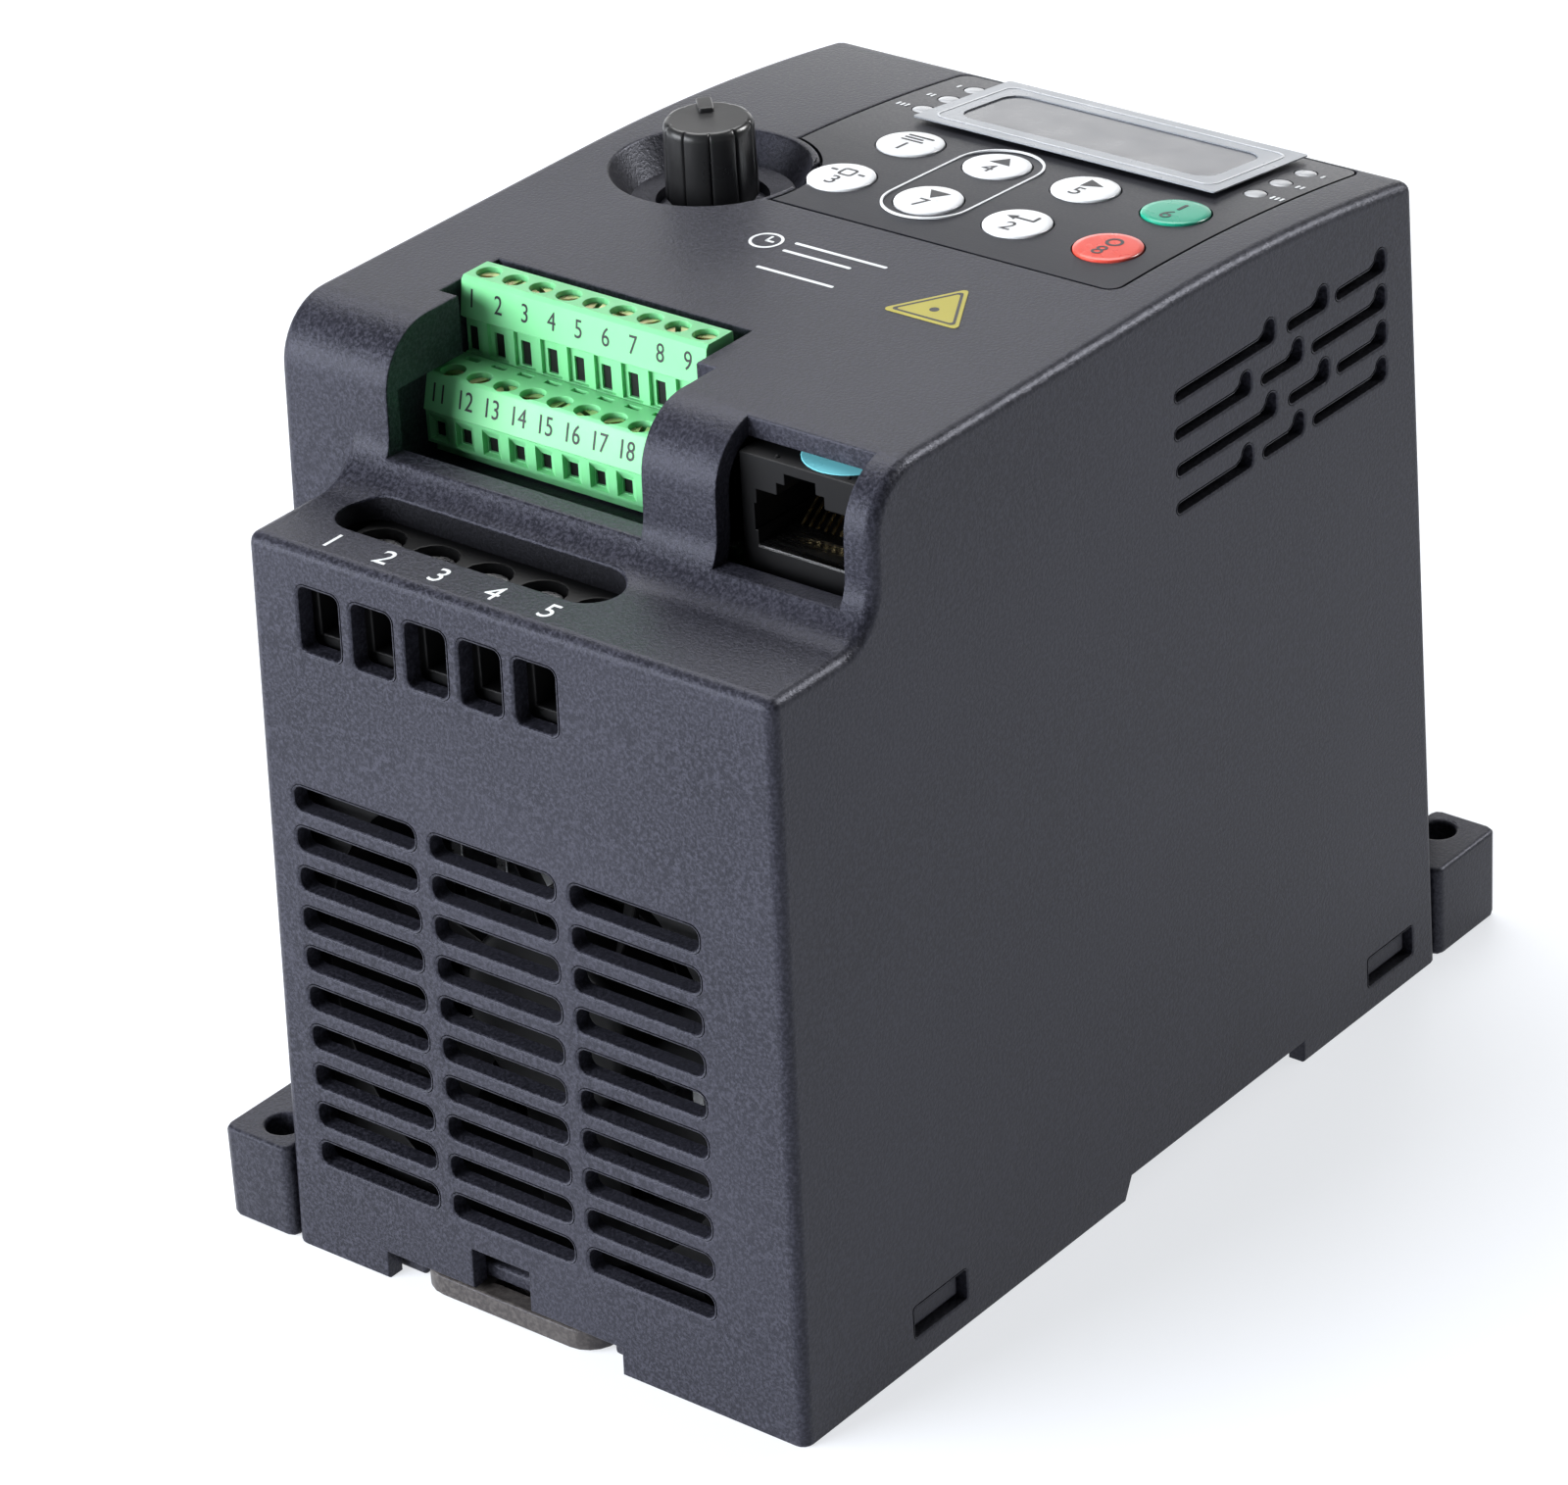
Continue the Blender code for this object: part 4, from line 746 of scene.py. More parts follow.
def grille_slots(bm, plane, mirror):
    for column in range(3):
        for row in range(10):
            x = mirror * (1.45 + (column - 1) * 19.7)
            outline = centred(17.5, 2.9, 1.1, 4, (x, 13.5 + row * 5.01))
            lipped(bm, plane, outline, 4.0, 0.3)


def wire_windows(bm, plane, first, poles):
    for pole in range(poles):
        outline = centred(5.7, 7.7, 0.9, 4, (first + pole * POLE_PITCH, 81.1))
        lipped(bm, plane, outline, 4.0, 0.3)


def vent_outline(near_y, far_y, z):
    """A thin slot whose far end turns up into a taller round opening."""
    half, end_half, rise = 0.6, 0.95, 1.35
    outline = arc((near_y + half, z), half, 90, 270, 6)
    outline += arc((far_y - end_half, z + end_half - half), end_half, -90, 0, 4)
    outline += arc((far_y - end_half, z + rise), end_half, 0, 180, 8)
    outline += [(far_y - 2 * end_half - 0.5, z + half + 0.35)]
    outline += [(far_y - 2 * end_half - 1.3, z + half)]
    return outline


def side_plane(side):
    """The left (-1) or right (1) face of the cover, u towards the mains end."""
    return Plane(
        (side * HALF_WIDTH, 0, 0), (0, 1, 0), (-side * SIDE_LEAN, 0, 1), (side, 0, SIDE_LEAN)
    )


def vent_slots(bm):
    sets = (
        ((73.6, 92.6), (95.2, 103.0), (104.8, 114.6)),
        ((73.4, 87.8), (90.0, 97.9), (99.9, 114.5)),
    )
    for side in (-1, 1):
        for row in range(4):
            z = 94.95 - 4.45 * row
            for near_y, far_y in sets[row % 2]:
                outline = vent_outline(NEAR_END + near_y, NEAR_END + far_y, z)
                lipped(bm, side_plane(side), outline, 6.0, 0.2, 2)


def rim_edges(target, outside, width, angle=50.0):
    """Bevel the sharp rims where openings break the outer surface."""
    tree = BVHTree.FromPolygons(
        [vert.co.copy() for vert in outside.vertices],
        [tuple(face.vertices) for face in outside.polygons],
    )
    with edited(target.data) as bm:
        chosen = []
        for edge in sharp_edges(bm, angle):
            if max(tree.find_nearest(vert.co)[3] for vert in edge.verts) < SURFACE_REACH:
                chosen.append(edge)
        bevel(bm, chosen, width, 2)


def feet_notches(bm):
    block(bm, (-17.8, NEAR_END - 4, -1), (16.4, NEAR_END + 4, 3.4))
    for side, notch in ((-1, NEAR_NOTCH), (1, FAR_NOTCH)):
        ends = sorted((side * (-NEAR_END - 3.0), side * (-NEAR_END - notch - 3.0)))
        across = sorted((side * (HALF_WIDTH - WALL - 0.2), side * 29.0))
        block(bm, (across[0], ends[0], -1), (across[1], ends[1], 5.8))


def end_and_side_openings(bm, near, far):
    """Wire windows, the slots over the terminal screws and the low side slots."""
    wire_windows(bm, near, OUTPUT_FIRST_X, 5)
    wire_windows(bm, far, MAINS_FIRST_X, 3)
    for width, depth, x, y in (
        (38.4, 7.5, -6.8, NEAR_END + 13.05),
        (24.6, 5.6, -1.5, FAR_END - 7.6),
    ):
        slot = centred(width, depth, depth / 2 - 0.05, 10, (x, y))
        slab(bm, Plane((0, 0, STEP_Z)), slot, -4.0, 4.0)
    for side in (-1, 1):
        for y in (24.5, 113.7):
            outline = centred(9.4, 3.8, 0.3, 2, (NEAR_END + y, 5.3))
            lipped(bm, side_plane(side), outline, 5.0, 0.15, 2)


def build_cover():
    cover = cover_solid("housing_cover_shell", 0.0, -6.0, 12, EDGE_RADIUS)
    outside = cover.data.copy()
    recesses(cover)
    hollow = cover_solid("hollow", WALL, -8.0, 8)
    with cut(hollow) as bm:
        block(
            bm,
            (WELL_UPPER[0] - 1.5, NEAR_END + 10, WELL_FLOOR_Z - 1.5),
            (WELL_LOWER[1] + 1.5, WELL_FAR_Y + 1.5, PANEL_Z + 5),
        )
    with cut(hollow) as bm:
        radius = DISH_RADIUS + 1.6
        turned(bm, (KNOB_X, KNOB_Y, DISH_FLOOR_Z - WALL), [(radius, 0.0), (radius, 20.0)], 32)
    boolean(cover, "DIFFERENCE", hollow)
    apply(cover, hollow)
    near = Plane((0, NEAR_END, 0), (1, 0, 0), (0, END_LEAN, 1), (0, -1, END_LEAN))
    far = Plane((0, FAR_END, 0), (1, 0, 0), (0, -END_LEAN, 1), (0, 1, END_LEAN))
    with cut(cover) as bm:
        block(bm, (-60, NEAR_END - 10, -20), (60, FAR_END + 10, 0))
    with cut(cover) as bm:
        rail = [(RAIL_NEAR - 0.9, -1), (RAIL_FAR, -1), (RAIL_FAR, RAIL_DEPTH)]
        along_x(bm, rail + [(RAIL_NEAR + 1.0, RAIL_DEPTH)], -60, 60)
    with cut(cover) as bm:
        feet_notches(bm)
    panel_edge = OVERLAY_HIGH[1]
    for low, high in (
        ((-4.9, NEAR_END - 4, 3.0), (3.3, NEAR_END + 4, 8.4)),
        ((-14.4, OVERLAY_LOW[1] + 4, 95), (OVERLAY_HIGH[0] - 2.0, panel_edge - 3.0, 110)),
        ((-18.6, KNOB_Y + 23.0, 95), (-13.0, panel_edge - 3.5, 110)),
    ):
        with cut(cover) as bm:
            block(bm, low, high)
    with cut(cover) as bm:
        socket = [(6.5, -1.3), (6.5, -0.25), (6.75, 1.0)]
        turned(bm, (KNOB_X, KNOB_Y, DISH_FLOOR_Z), socket, 48)
    with cut(cover) as bm:
        turned(bm, (KNOB_X, KNOB_Y, DISH_FLOOR_Z - 4), [(3.6, 0.0), (3.6, 8.0)], 24)
    with cut(cover) as bm:
        end_and_side_openings(bm, near, far)
    with cut(cover) as bm:
        grille_slots(bm, near, 1)
    with cut(cover) as bm:
        grille_slots(bm, far, -1)
    with cut(cover) as bm:
        vent_slots(bm)
    tidy(cover, FLAT)
    rim_edges(cover, outside, 0.28)
    bpy.data.meshes.remove(outside)
    finish(cover, "cover", stands_for=("housing_cover",), angle=30)
    # The second look paints shade on the walls of the two slots over the terminal screws
    cover.data.materials.append(looks["inside"])
    for low_y, high_y in ((NEAR_END + 8, NEAR_END + 18), (FAR_END - 12, FAR_END - 3)):
        shade_inside(cover, (-30, low_y, 84), (20, high_y, STEP_Z - 0.3))


def shade_inside(target, low, high):
    """Gives the faces within a box, in mm, the second look: painted shade, near black, as on an
    unlit inside.
    """
    for face in target.data.polygons:
        if all(a < c / MM < b for a, c, b in zip(low, face.center, high)):
            face.material_index = 1


# ---- pieces kept from the CAD


def softened(node, width, look, name, segments=2, angle=50.0, body="housing"):
    """A CAD node's shape with its sharp outward edges rounded."""
    made = bpy.data.objects.new(name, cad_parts[node].data.copy())
    bpy.context.scene.collection.objects.link(made)
    with edited(made.data) as bm:
        bmesh.ops.remove_doubles(bm, verts=bm.verts[:], dist=2e-6)
        dissolve_flat(bm, math.radians(0.5))
        sharp = [edge for edge in sharp_edges(bm, angle) if edge.calc_length() > width * MM]
        bevel(bm, sharp, width, segments)
    finish(made, look, body, (node,))


def dress(node, look):
    """A CAD node that keeps its shape and gets a better material."""
    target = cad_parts[node]
    if len(target.data.materials):
        target.material_slots[0].link = "OBJECT"
        target.material_slots[0].material = looks[look]
    else:
        target.data.materials.append(looks[look])


def build_structure():
    softened("base", 0.55, "base", "base_moulding", 3)
    softened(
        "rail_clip", 0.35, "clip", "rail_clip_moulding", 3, 50, "rail_clip",
    )
    for node, name in (
        ("power_module", "power_module_case"),
        ("relay", "relay_case"),
        ("board_header", "board_header_strip"),
        ("output_terminals", "output_terminal_block"),
        ("mains_terminals", "mains_terminal_block"),
        ("fan_frame", "fan_housing"),
    ):
        softened(node, 0.3, "component", name)
    softened("heatsink", 0.25, "aluminium", "heatsink_extrusion")
    for kind, count, width, ending in (
        ("output_screw", 5, 0.25, "_head"),
        ("mains_screw", 3, 0.25, "_head"),
        ("fan_screw", 4, 0.3, "_body"),
    ):
        for number in range(1, count + 1):
            node = f"{kind}_{number}"
            softened(node, width, "steel", node + ending)
    for node in ("power_board", "control_board", "keypad_board"):
        softened(node, 0.15, "board", node + "_laminate", 1)
    for number in (1, 2):
        node = f"bus_capacitor_{number}"
        softened(node, 1.2, "sleeve", node + "_can", 4)
    softened("potentiometer", 0.6, "component", "potentiometer_case", 3)
    softened("display_module", 0.3, "component", "display_case")
    dress("emc_choke", "winding")


# ---- fan


def build_rotor():
    """Hub with a rounded nose and seven twisted blades."""
    low, high = box_mm("fan_rotor")
    middle = (low + high) / 2
    front_y, back_y = low.y, high.y
    axis = Plane((middle.x, front_y, middle.z), (1, 0, 0), (0, 0, 1), (0, 1, 0))
    with piece(
        "fan_impeller", "component", "component_black", "fan_rotor", ("fan_rotor",), angle=40
    ) as bm:
        depth = back_y - front_y
        profile = [(9.6, 0.25), (10.6, 0.35), (11.2, 0.8), (11.5, 1.6), (11.5, depth)]
        turned(bm, (0, 0, 0), profile, 64, axis)
        blades, sections, points = 7, 7, 9
        for blade in range(blades):
            rings = []
            for section in range(sections):
                share = section / (sections - 1)
                radius = 11.0 + 15.6 * share
                pitch = math.radians(58 - 22 * share)
                chord = 7.4 + 1.8 * share
                outline = []
                for side in (1, -1):
                    for k in range(points):
                        along = -0.5 + k / (points - 1)
                        along *= side
                        camber = 0.09 * chord * (1 - 4 * along * along)
                        thick = 0.42 * math.sqrt(max(0.0, 1 - 4 * along * along)) + 0.08
                        outline.append((along * chord, camber + side * thick))
                ring = []
                for u, v in outline:
                    across = u * math.cos(pitch) - v * math.sin(pitch)
                    deep = u * math.sin(pitch) + v * math.cos(pitch)
                    angle = math.tau * blade / blades + across / radius + 0.25 * share
                    deep = min(max(deep + depth / 2, 0.3), depth - 0.2)
                    ring.append(axis.at(radius * math.cos(angle), radius * math.sin(angle), deep))
                rings.append(ring)
            loft(bm, rings)


# ---- small hardware


def slotted_screw(bm, x, y, top_z, radius, turn):
    """A domed screw head with a straight slot, seen down its well."""
    across, along = math.cos(turn), math.sin(turn)
    plane = Plane((x, y, top_z), (across, along, 0), (-along, across, 0))
    half_slot = radius * 0.2
    for side in (1, -1):
        outline = []
        for i in range(15):
            angle = math.pi * i / 14
            u, v = radius * math.cos(angle), side * radius * math.sin(angle)
            outline.append((u, side * max(abs(v), half_slot)))
        rings = [plane.ring(outline, -1.2), plane.ring(outline, -0.12)]
        rings.append(plane.ring(grown_towards(outline, 0.9), 0.0))
        loft(bm, rings)
    half = radius * 0.55
    block(bm, (x - half, y - half, top_z - 1.2), (x + half, y + half, top_z - 0.5))


def grown_towards(outline, scale):
    middle_u = sum(point[0] for point in outline) / len(outline)
    middle_v = sum(point[1] for point in outline) / len(outline)
    return [
        (middle_u + (u - middle_u) * scale, middle_v + (v - middle_v) * scale)
        for u, v in outline
    ]


CONTROL_ROWS = {
    "upper": {
        "ends": (-27.55, 6.95),
        "section": (
            (35.9, 88.8),
            (35.9, 102.8),
            (35.55, 103.05),
            (36.15, 107.2),
            (36.55, 107.6),
            (40.55, 107.6),
            (40.7, 107.45),
            (40.7, 88.8),
        ),
        "label": 2,
        "top": 107.6,
        "well_y": 38.45,
        "recess": (-1.0, 2.83, 98.6, 102.75),
        "mouth": (-1.18, 1.35, 98.7, 101.65),
        "depth": 0.5,
        "taper": 0.0,
        "first": 1,
        "turn": 20,
    },
    "lower": {
        "ends": (-28.1, 6.9),
        "section": (
            (30.4, 88.8),
            (30.4, 90.2),
            (29.05, 90.35),
            (29.05, 94.15),
            (28.75, 94.4),
            (29.75, 98.2),
            (30.15, 98.6),
            (35.6, 98.6),
            (35.75, 98.45),
            (35.75, 88.8),
        ),
        "label": 4,
        "top": 98.6,
        "well_y": 31.45,
        "recess": (-0.63, 2.64, 90.75, 93.85),
        "mouth": (-1.03, 1.38, 90.95, 92.75),
        "depth": 0.7,
        "taper": 1.0,
        "first": 11,
        "turn": 5,
    },
}


def control_places():
    return [CONTROL_LEFT + (pole + 0.5) * CONTROL_PITCH for pole in range(CONTROL_POLES)]


def entry_outline(entry, x, grow=0.0):
    """Outline in (x, z) of a wire entry given as (shift, width, low, high)."""
    shift, width, low, high = entry
    middle = (x + shift, (low + high) / 2)
    return centred(width + 2 * grow, high - low + 2 * grow, 0.1, 2, middle)


def build_control_row(kind):
    """One green row: screw wells, framed wire entries and the dark clamps in them."""
    row_of = CONTROL_ROWS[kind]
    section = [(NEAR_END + y, z) for y, z in row_of["section"]]
    bm = bmesh.new()
    along_x(bm, section, *row_of["ends"])
    row = new_object(f"control_row_{kind}", bm)
    face_y = section[row_of["label"] - 1][0]
    front = Plane((0, face_y, 0), (1, 0, 0), (0, 0, 1), (0, -1, 0))
    top, depth = row_of["top"], row_of["depth"]
    top_plane = Plane((0, 0, top))
    well_y = NEAR_END + row_of["well_y"]
    mouth = row_of["mouth"]
    with cut(row) as bm:
        for x in control_places():
            lipped(bm, top_plane, centred(2.86, 2.86, 1.42, 6, (x, well_y)), 3.4, 0.06, 2)
    with cut(row) as bm:
        for x in control_places():
            outer = entry_outline(row_of["recess"], x)
            inner = entry_outline(mouth, x, 0.12) if row_of["taper"] else outer
            loft(bm, [front.ring(outer, 2.0), front.ring(outer, 0.0), front.ring(inner, -depth)])
    with cut(row) as bm:
        for x in control_places():
            inner = entry_outline(mouth, x)
            loft(bm, [front.ring(inner, 0.3 - depth), front.ring(inner, -depth - 2.2)])
    if kind == "lower":
        with cut(row) as bm:
            for x in control_places():
                outline = centred(2.0, 0.8, 0.12, 2, (x + 0.1, NEAR_END + 34.6))
                loft(bm, [top_plane.ring(outline, 1.0), top_plane.ring(outline, -0.7)])
    tidy(row, FLAT)
    soften(row, 0.1, 2, 60.0)
    finish(row, "green", stands_for=(f"control_terminals_{kind}",))
    screws, clamps = bmesh.new(), bmesh.new()
    for pole, x in enumerate(control_places()):
        turn = math.radians((pole * 67 + row_of["turn"]) % 180)
        slotted_screw(screws, x, well_y, top - 0.6, 1.3, turn)
        inner = entry_outline(mouth, x, -0.04)
        loft(clamps, [front.ring(inner, -depth - 0.3), front.ring(inner, -depth - 2.0)])
    screws = new_object(f"control_screws_{kind}", screws)
    finish(screws, "brass")
    clamps = new_object(f"control_clamps_{kind}", clamps)
    finish(clamps, "component")


def build_jack():
    """8P8C jack: stepped mouth, shield edge, eight contact springs, two pips, a dot."""
    low, high = box_mm("network_jack")
    middle = (low.x + high.x) / 2
    bm = bmesh.new()
    block(bm, low, high)
    jack = new_object("network_jack_shell", bm)
    face = Plane((middle, low.y, 0), (1, 0, 0), (0, 0, 1), (0, -1, 0))
    half = [(5.9, 93.3), (5.9, 95.2), (6.25, 95.2), (6.25, 98.2), (5.9, 98.2), (5.9, 99.9)]
    half += [(3.1, 99.9), (3.1, 101.3), (2.0, 101.3), (2.0, 102.6)]
    mouth = half + [(-x, z) for x, z in reversed(half)]

    with cut(jack) as bm:
        loft(bm, [face.ring(mouth, 1.0), face.ring(mouth, -12.0)])
    tidy(jack, FLAT)
    soften(jack, 0.16, 2, 50.0)
    finish(jack, "jack", stands_for=("network_jack",))
    with piece("jack_shield_edge", "tin", "steel") as bm:
        strip = centred(11.7, 0.3, 0.1, 2, (0, 93.47))
        loft(bm, [face.ring(strip, 0.15), face.ring(strip, -6.0)])
    with piece("jack_contacts", "gold", "steel") as bm:
        for contact in range(8):
            x = middle + (contact - 3.5) * 1.02
            path = [(x, low.y + 4.4, 94.6), (x, low.y + 4.9, 95.0), (x, low.y + 7.6, 96.9)]
            path += [(x, low.y + 10.4, 98.9), (x, low.y + 11.7, 99.5)]
            tube(bm, path, 0.2)
    with piece("jack_colour_dot", "teal", "overlay_film") as bm:
        dot = (31.3, low.y + 5.7, high.z)
        turned(bm, dot, [(5.28, 0.02), (5.3, 0.06), (5.22, 0.11)], 72)
    with piece("jack_pips", "jack", "gloss_black") as bm:
        for x in (25.2, 34.6):
            profile = [(0.32, -0.02), (0.3, 0.1), (0.2, 0.2), (0.08, 0.24)]
            turned(bm, (x, low.y + 0.95, high.z), profile, 16)


# ---- keypad


def build_overlay():
    """Key plate that lies a little below the panel inside a fine dark seam."""
    plate = trimmed_strip("keypad_plate", overlay_outline(-0.02), -1.1, -0.06, DISH_RADIUS + 1.0)
    with cut(plate) as bm:
        for y in KEY_ROWS:
            for x in KEY_COLUMNS:
                turned(bm, (x, y, 95.0), [(4.12, 0.0), (4.12, 20.0)], 48)
    with cut(plate) as bm:
        for x in LIGHT_COLUMNS.values():
            for offset in LIGHT_OFFSETS:
                turned(bm, (x, DISPLAY_Y + offset, 95.0), [(1.4, 0.0), (1.4, 20.0)], 24)
    with cut(plate) as bm:
        along_z(bm, centred(35.0, 12.4, 0.6, 4, (DISPLAY_X, DISPLAY_Y)), 95.0, 115.0)
    tidy(plate, FLAT)
    soften(plate, 0.08, 2, 60.0)
    finish(plate, "overlay", stands_for=("keypad_overlay",))


def print_flat(bm, plane, outline, hole=None, height=0.0, thick=0.03):
    """A thin printed patch on a surface, with an optional hole of equal point count."""
    if hole is None:
        loft(bm, [plane.ring(outline, height), plane.ring(outline, height + thick)])
        return
    rings = [
        [bm.verts.new(p) for p in plane.ring(line, level)]
        for line, level in (
            (outline, height),
            (hole, height),
            (hole, height + thick),
            (outline, height + thick),
        )
    ]
    count = len(outline)
    faces = []
    for a, b in zip(rings, rings[1:] + rings[:1]):
        for i in range(count):
            j = (i + 1) % count
            faces.append(bm.faces.new((a[i], a[j], b[j], b[i])))
    bmesh.ops.recalc_face_normals(bm, faces=faces)


def add_text(bm, words, plane, size, height=0.0, thick=0.03, middle=(0.0, 0.0), squeeze=1.0):
    """Numerals from Blender's own font, laid on a plane and centred on middle."""
    curve = bpy.data.curves.new("numerals", "FONT")
    curve.body = words
    curve.size = size
    curve.extrude = thick / 2
    curve.resolution_u = 4
    curve.align_x, curve.align_y = "CENTER", "CENTER"
    holder = bpy.data.objects.new("numerals", curve)
    bpy.context.scene.collection.objects.link(holder)
    graph = bpy.context.evaluated_depsgraph_get()
    mesh = bpy.data.meshes.new_from_object(holder.evaluated_get(graph))
    bpy.data.objects.remove(holder, do_unlink=True)
    for vert in mesh.vertices:
        u, v, w = vert.co
        vert.co = plane.at(u * squeeze + middle[0], v + middle[1], w + thick / 2 + height)
    bm.from_mesh(mesh)
    bpy.data.meshes.remove(mesh)
    bmesh.ops.remove_doubles(bm, verts=bm.verts[:], dist=1e-4)


def bar(bm, plane, u, v, width, height, lift):
    print_flat(bm, plane, centred(width, height, min(width, height) * 0.35, 2, (u, v)), None, lift)


def triangle(bm, plane, u, v, size, turn, lift):
    points = []
    for k in range(3):
        angle = math.radians(turn + 120 * k)
        points.append((u + size * math.cos(angle), v + size * 0.86 * math.sin(angle)))
    print_flat(bm, plane, points, None, lift)


def key_symbol(bm, plane, name, lift):
    """A plain sign above the numeral of each key."""
    v = 1.2
    if name == "up":
        triangle(bm, plane, 0.0, v - 0.1, 1.6, 90, lift)
    elif name == "down":
        triangle(bm, plane, 0.0, v + 0.4, 1.6, 270, lift)
    elif name == "shift":
        triangle(bm, plane, -0.1, v + 0.1, 1.6, 0, lift)
    elif name == "program":
        for k, width in enumerate((3.6, 2.6, 3.1)):
            bar(bm, plane, (width - 3.6) / 2, v + 0.9 - 0.75 * k, width, 0.36, lift)
    elif name == "function":
        outer, inner = centred(2.0, 2.0, 0.5, 4, (0, v)), centred(1.4, 1.4, 0.3, 4, (0, v))
        print_flat(bm, plane, outer, inner, lift)
        for side in (-1, 1):
            bar(bm, plane, side * 1.9, v, 0.9, 0.36, lift)
    elif name == "enter":
        bar(bm, plane, 0.3, v - 0.2, 2.6, 0.36, lift)
        bar(bm, plane, 1.45, v + 0.45, 0.36, 1.3, lift)
        triangle(bm, plane, -1.3, v - 0.2, 0.85, 180, lift)
    elif name == "run":
        bar(bm, plane, 0.0, v + 0.1, 0.45, 1.9, lift)
    elif name == "stop":
        print_flat(bm, plane, circle(1.05, 32, (0, v)), circle(0.68, 32, (0, v)), lift)


def build_keys():
    """Eight domed keys, each with its own printing, all riding on their bodies."""
    names = ("program", "up", "shift", "run"), ("function", "down", "enter", "stop")
    by_number = ("program", "enter", "function", "up", "shift", "run", "down", "stop")
    numbers = {name: number for number, name in enumerate(by_number, start=1)}
    caps = {"run": ("green_cap", "green_key"), "stop": ("red_cap", "red_key")}
    for y, row in zip(KEY_ROWS, names):
        for x, name in zip(KEY_COLUMNS, row):
            plane = panel_plane(x, y)
            look, slot = caps.get(name, ("white_cap", "white_key"))
            body = f"key_{name}"
            with piece(f"{body}_cap", look, slot, body, (body,), angle=40) as bm:
                profile = [(3.75, -4.35), (3.95, -4.2), (3.95, 0.0), (3.9, 0.1), (3.78, 0.17)]
                profile += [(3.2, 0.2), (2.0, 0.222), (0.6, 0.229)]
                turned(bm, (0, 0, 0), profile, 64, plane)
            with piece(f"{body}_print", "ink", slot, body) as bm:
                key_symbol(bm, plane, name, 0.225)
                add_text(bm, str(numbers[name]), plane, 3.2, 0.225, 0.03, (-0.2, -1.5))


def build_lights():
    for side, x in LIGHT_COLUMNS.items():
        for number, offset in enumerate(LIGHT_OFFSETS, start=1):
            plane = panel_plane(x, DISPLAY_Y + offset)
            bm = bmesh.new()
            profile = [(1.1, -2.9), (1.28, -0.4), (1.28, -0.12), (1.15, -0.03), (0.5, 0.0)]
            turned(bm, (0, 0, 0), profile, 32, plane)
            node = f"status_light_{side}_{number}"
            lens = new_object(node + "_lens", bm)
            finish(lens, "lens", stands_for=(node,), angle=40)


def build_keypad_print():
    """Ring round the up and down keys, and dots that number the status lights."""
    with piece("keypad_print", "white_ink", "overlay_film") as bm:
        x, low_y, high_y = KEY_COLUMNS[1], KEY_ROWS[1], KEY_ROWS[0]
        plane = panel_plane(x, (low_y + high_y) / 2)
        reach = (high_y - low_y) / 2
        outer = centred(10.9, 2 * reach + 10.9, 5.44, 14)
        inner = centred(10.3, 2 * reach + 10.3, 5.14, 14)
        print_flat(bm, plane, outer, inner, -0.2, 0.19)
        for side, light_x in LIGHT_COLUMNS.items():
            outward = -1 if side == "left" else 1
            for number, offset in enumerate(LIGHT_OFFSETS, start=1):
                mark = panel_plane(light_x + outward * 2.6, DISPLAY_Y + offset)
                for k in range(number):
                    bar(bm, mark, outward * 0.62 * k - 0.3 * outward, 0, 0.34, 0.95, -0.05)


def build_display():
    """Smoked window under a protective film with an embossed edge."""
    plane = panel_plane(DISPLAY_X, DISPLAY_Y)
    bm = bmesh.new()
    slab(bm, plane, centred(34.4, 11.8, 0.5, 4), -1.3, -0.1, 0.12)
    glass = new_object("display_glass", bm)
    finish(glass, "window", stands_for=("display_window",))
    steps = 30
    hole = centred(35.4, 11.6, 2.4, steps)
    wobbly = []
    for i, (u, v) in enumerate(hole):
        wave = 0.12 * math.sin(i * 0.9) + 0.1 * math.sin(i * 0.37 + 1.0)
        dent = 0.9 * math.exp(-((u + 6.0) ** 2) / 6.0) if v > 0 else 0.0
        scale = 1 - (0.012 * wave)
        wobbly.append((u * scale, v * scale - dent * 0.8))
    outer = centred(42.2, 18.8, 0.35, steps)
    bm = bmesh.new()
    print_flat(bm, plane, outer, wobbly, 0.34, 0.16)
    edge = new_object("display_film_edge", bm)
    finish(edge, "film", stands_for=("display_film",))
    with piece("display_film_bead", "bead", "frosted_film") as bm:
        line_out, line_in = centred(39.2, 15.6, 1.6, 12), centred(38.7, 15.1, 1.35, 12)
        print_flat(bm, plane, line_out, line_in, 0.46, 0.09)
    with piece("display_film_middle", "haze", "frosted_film") as bm:
        slab(bm, plane, [(u * 1.004, v * 1.006) for u, v in wobbly], 0.2, 0.33, 0.0)


def knob_radius(angle_share, rise):
    """Radius of the fluted side: convex facets that meet in fine grooves."""
    facet = angle_share * KNOB_FACETS
    local = facet - math.floor(facet) - 0.5
    bulge = 0.07 * math.cos(math.pi * local)
    groove = 0.2 * math.exp(-((abs(local) - 0.5) ** 2) / 0.0011)
    return 5.28 - 0.16 * rise + bulge - groove


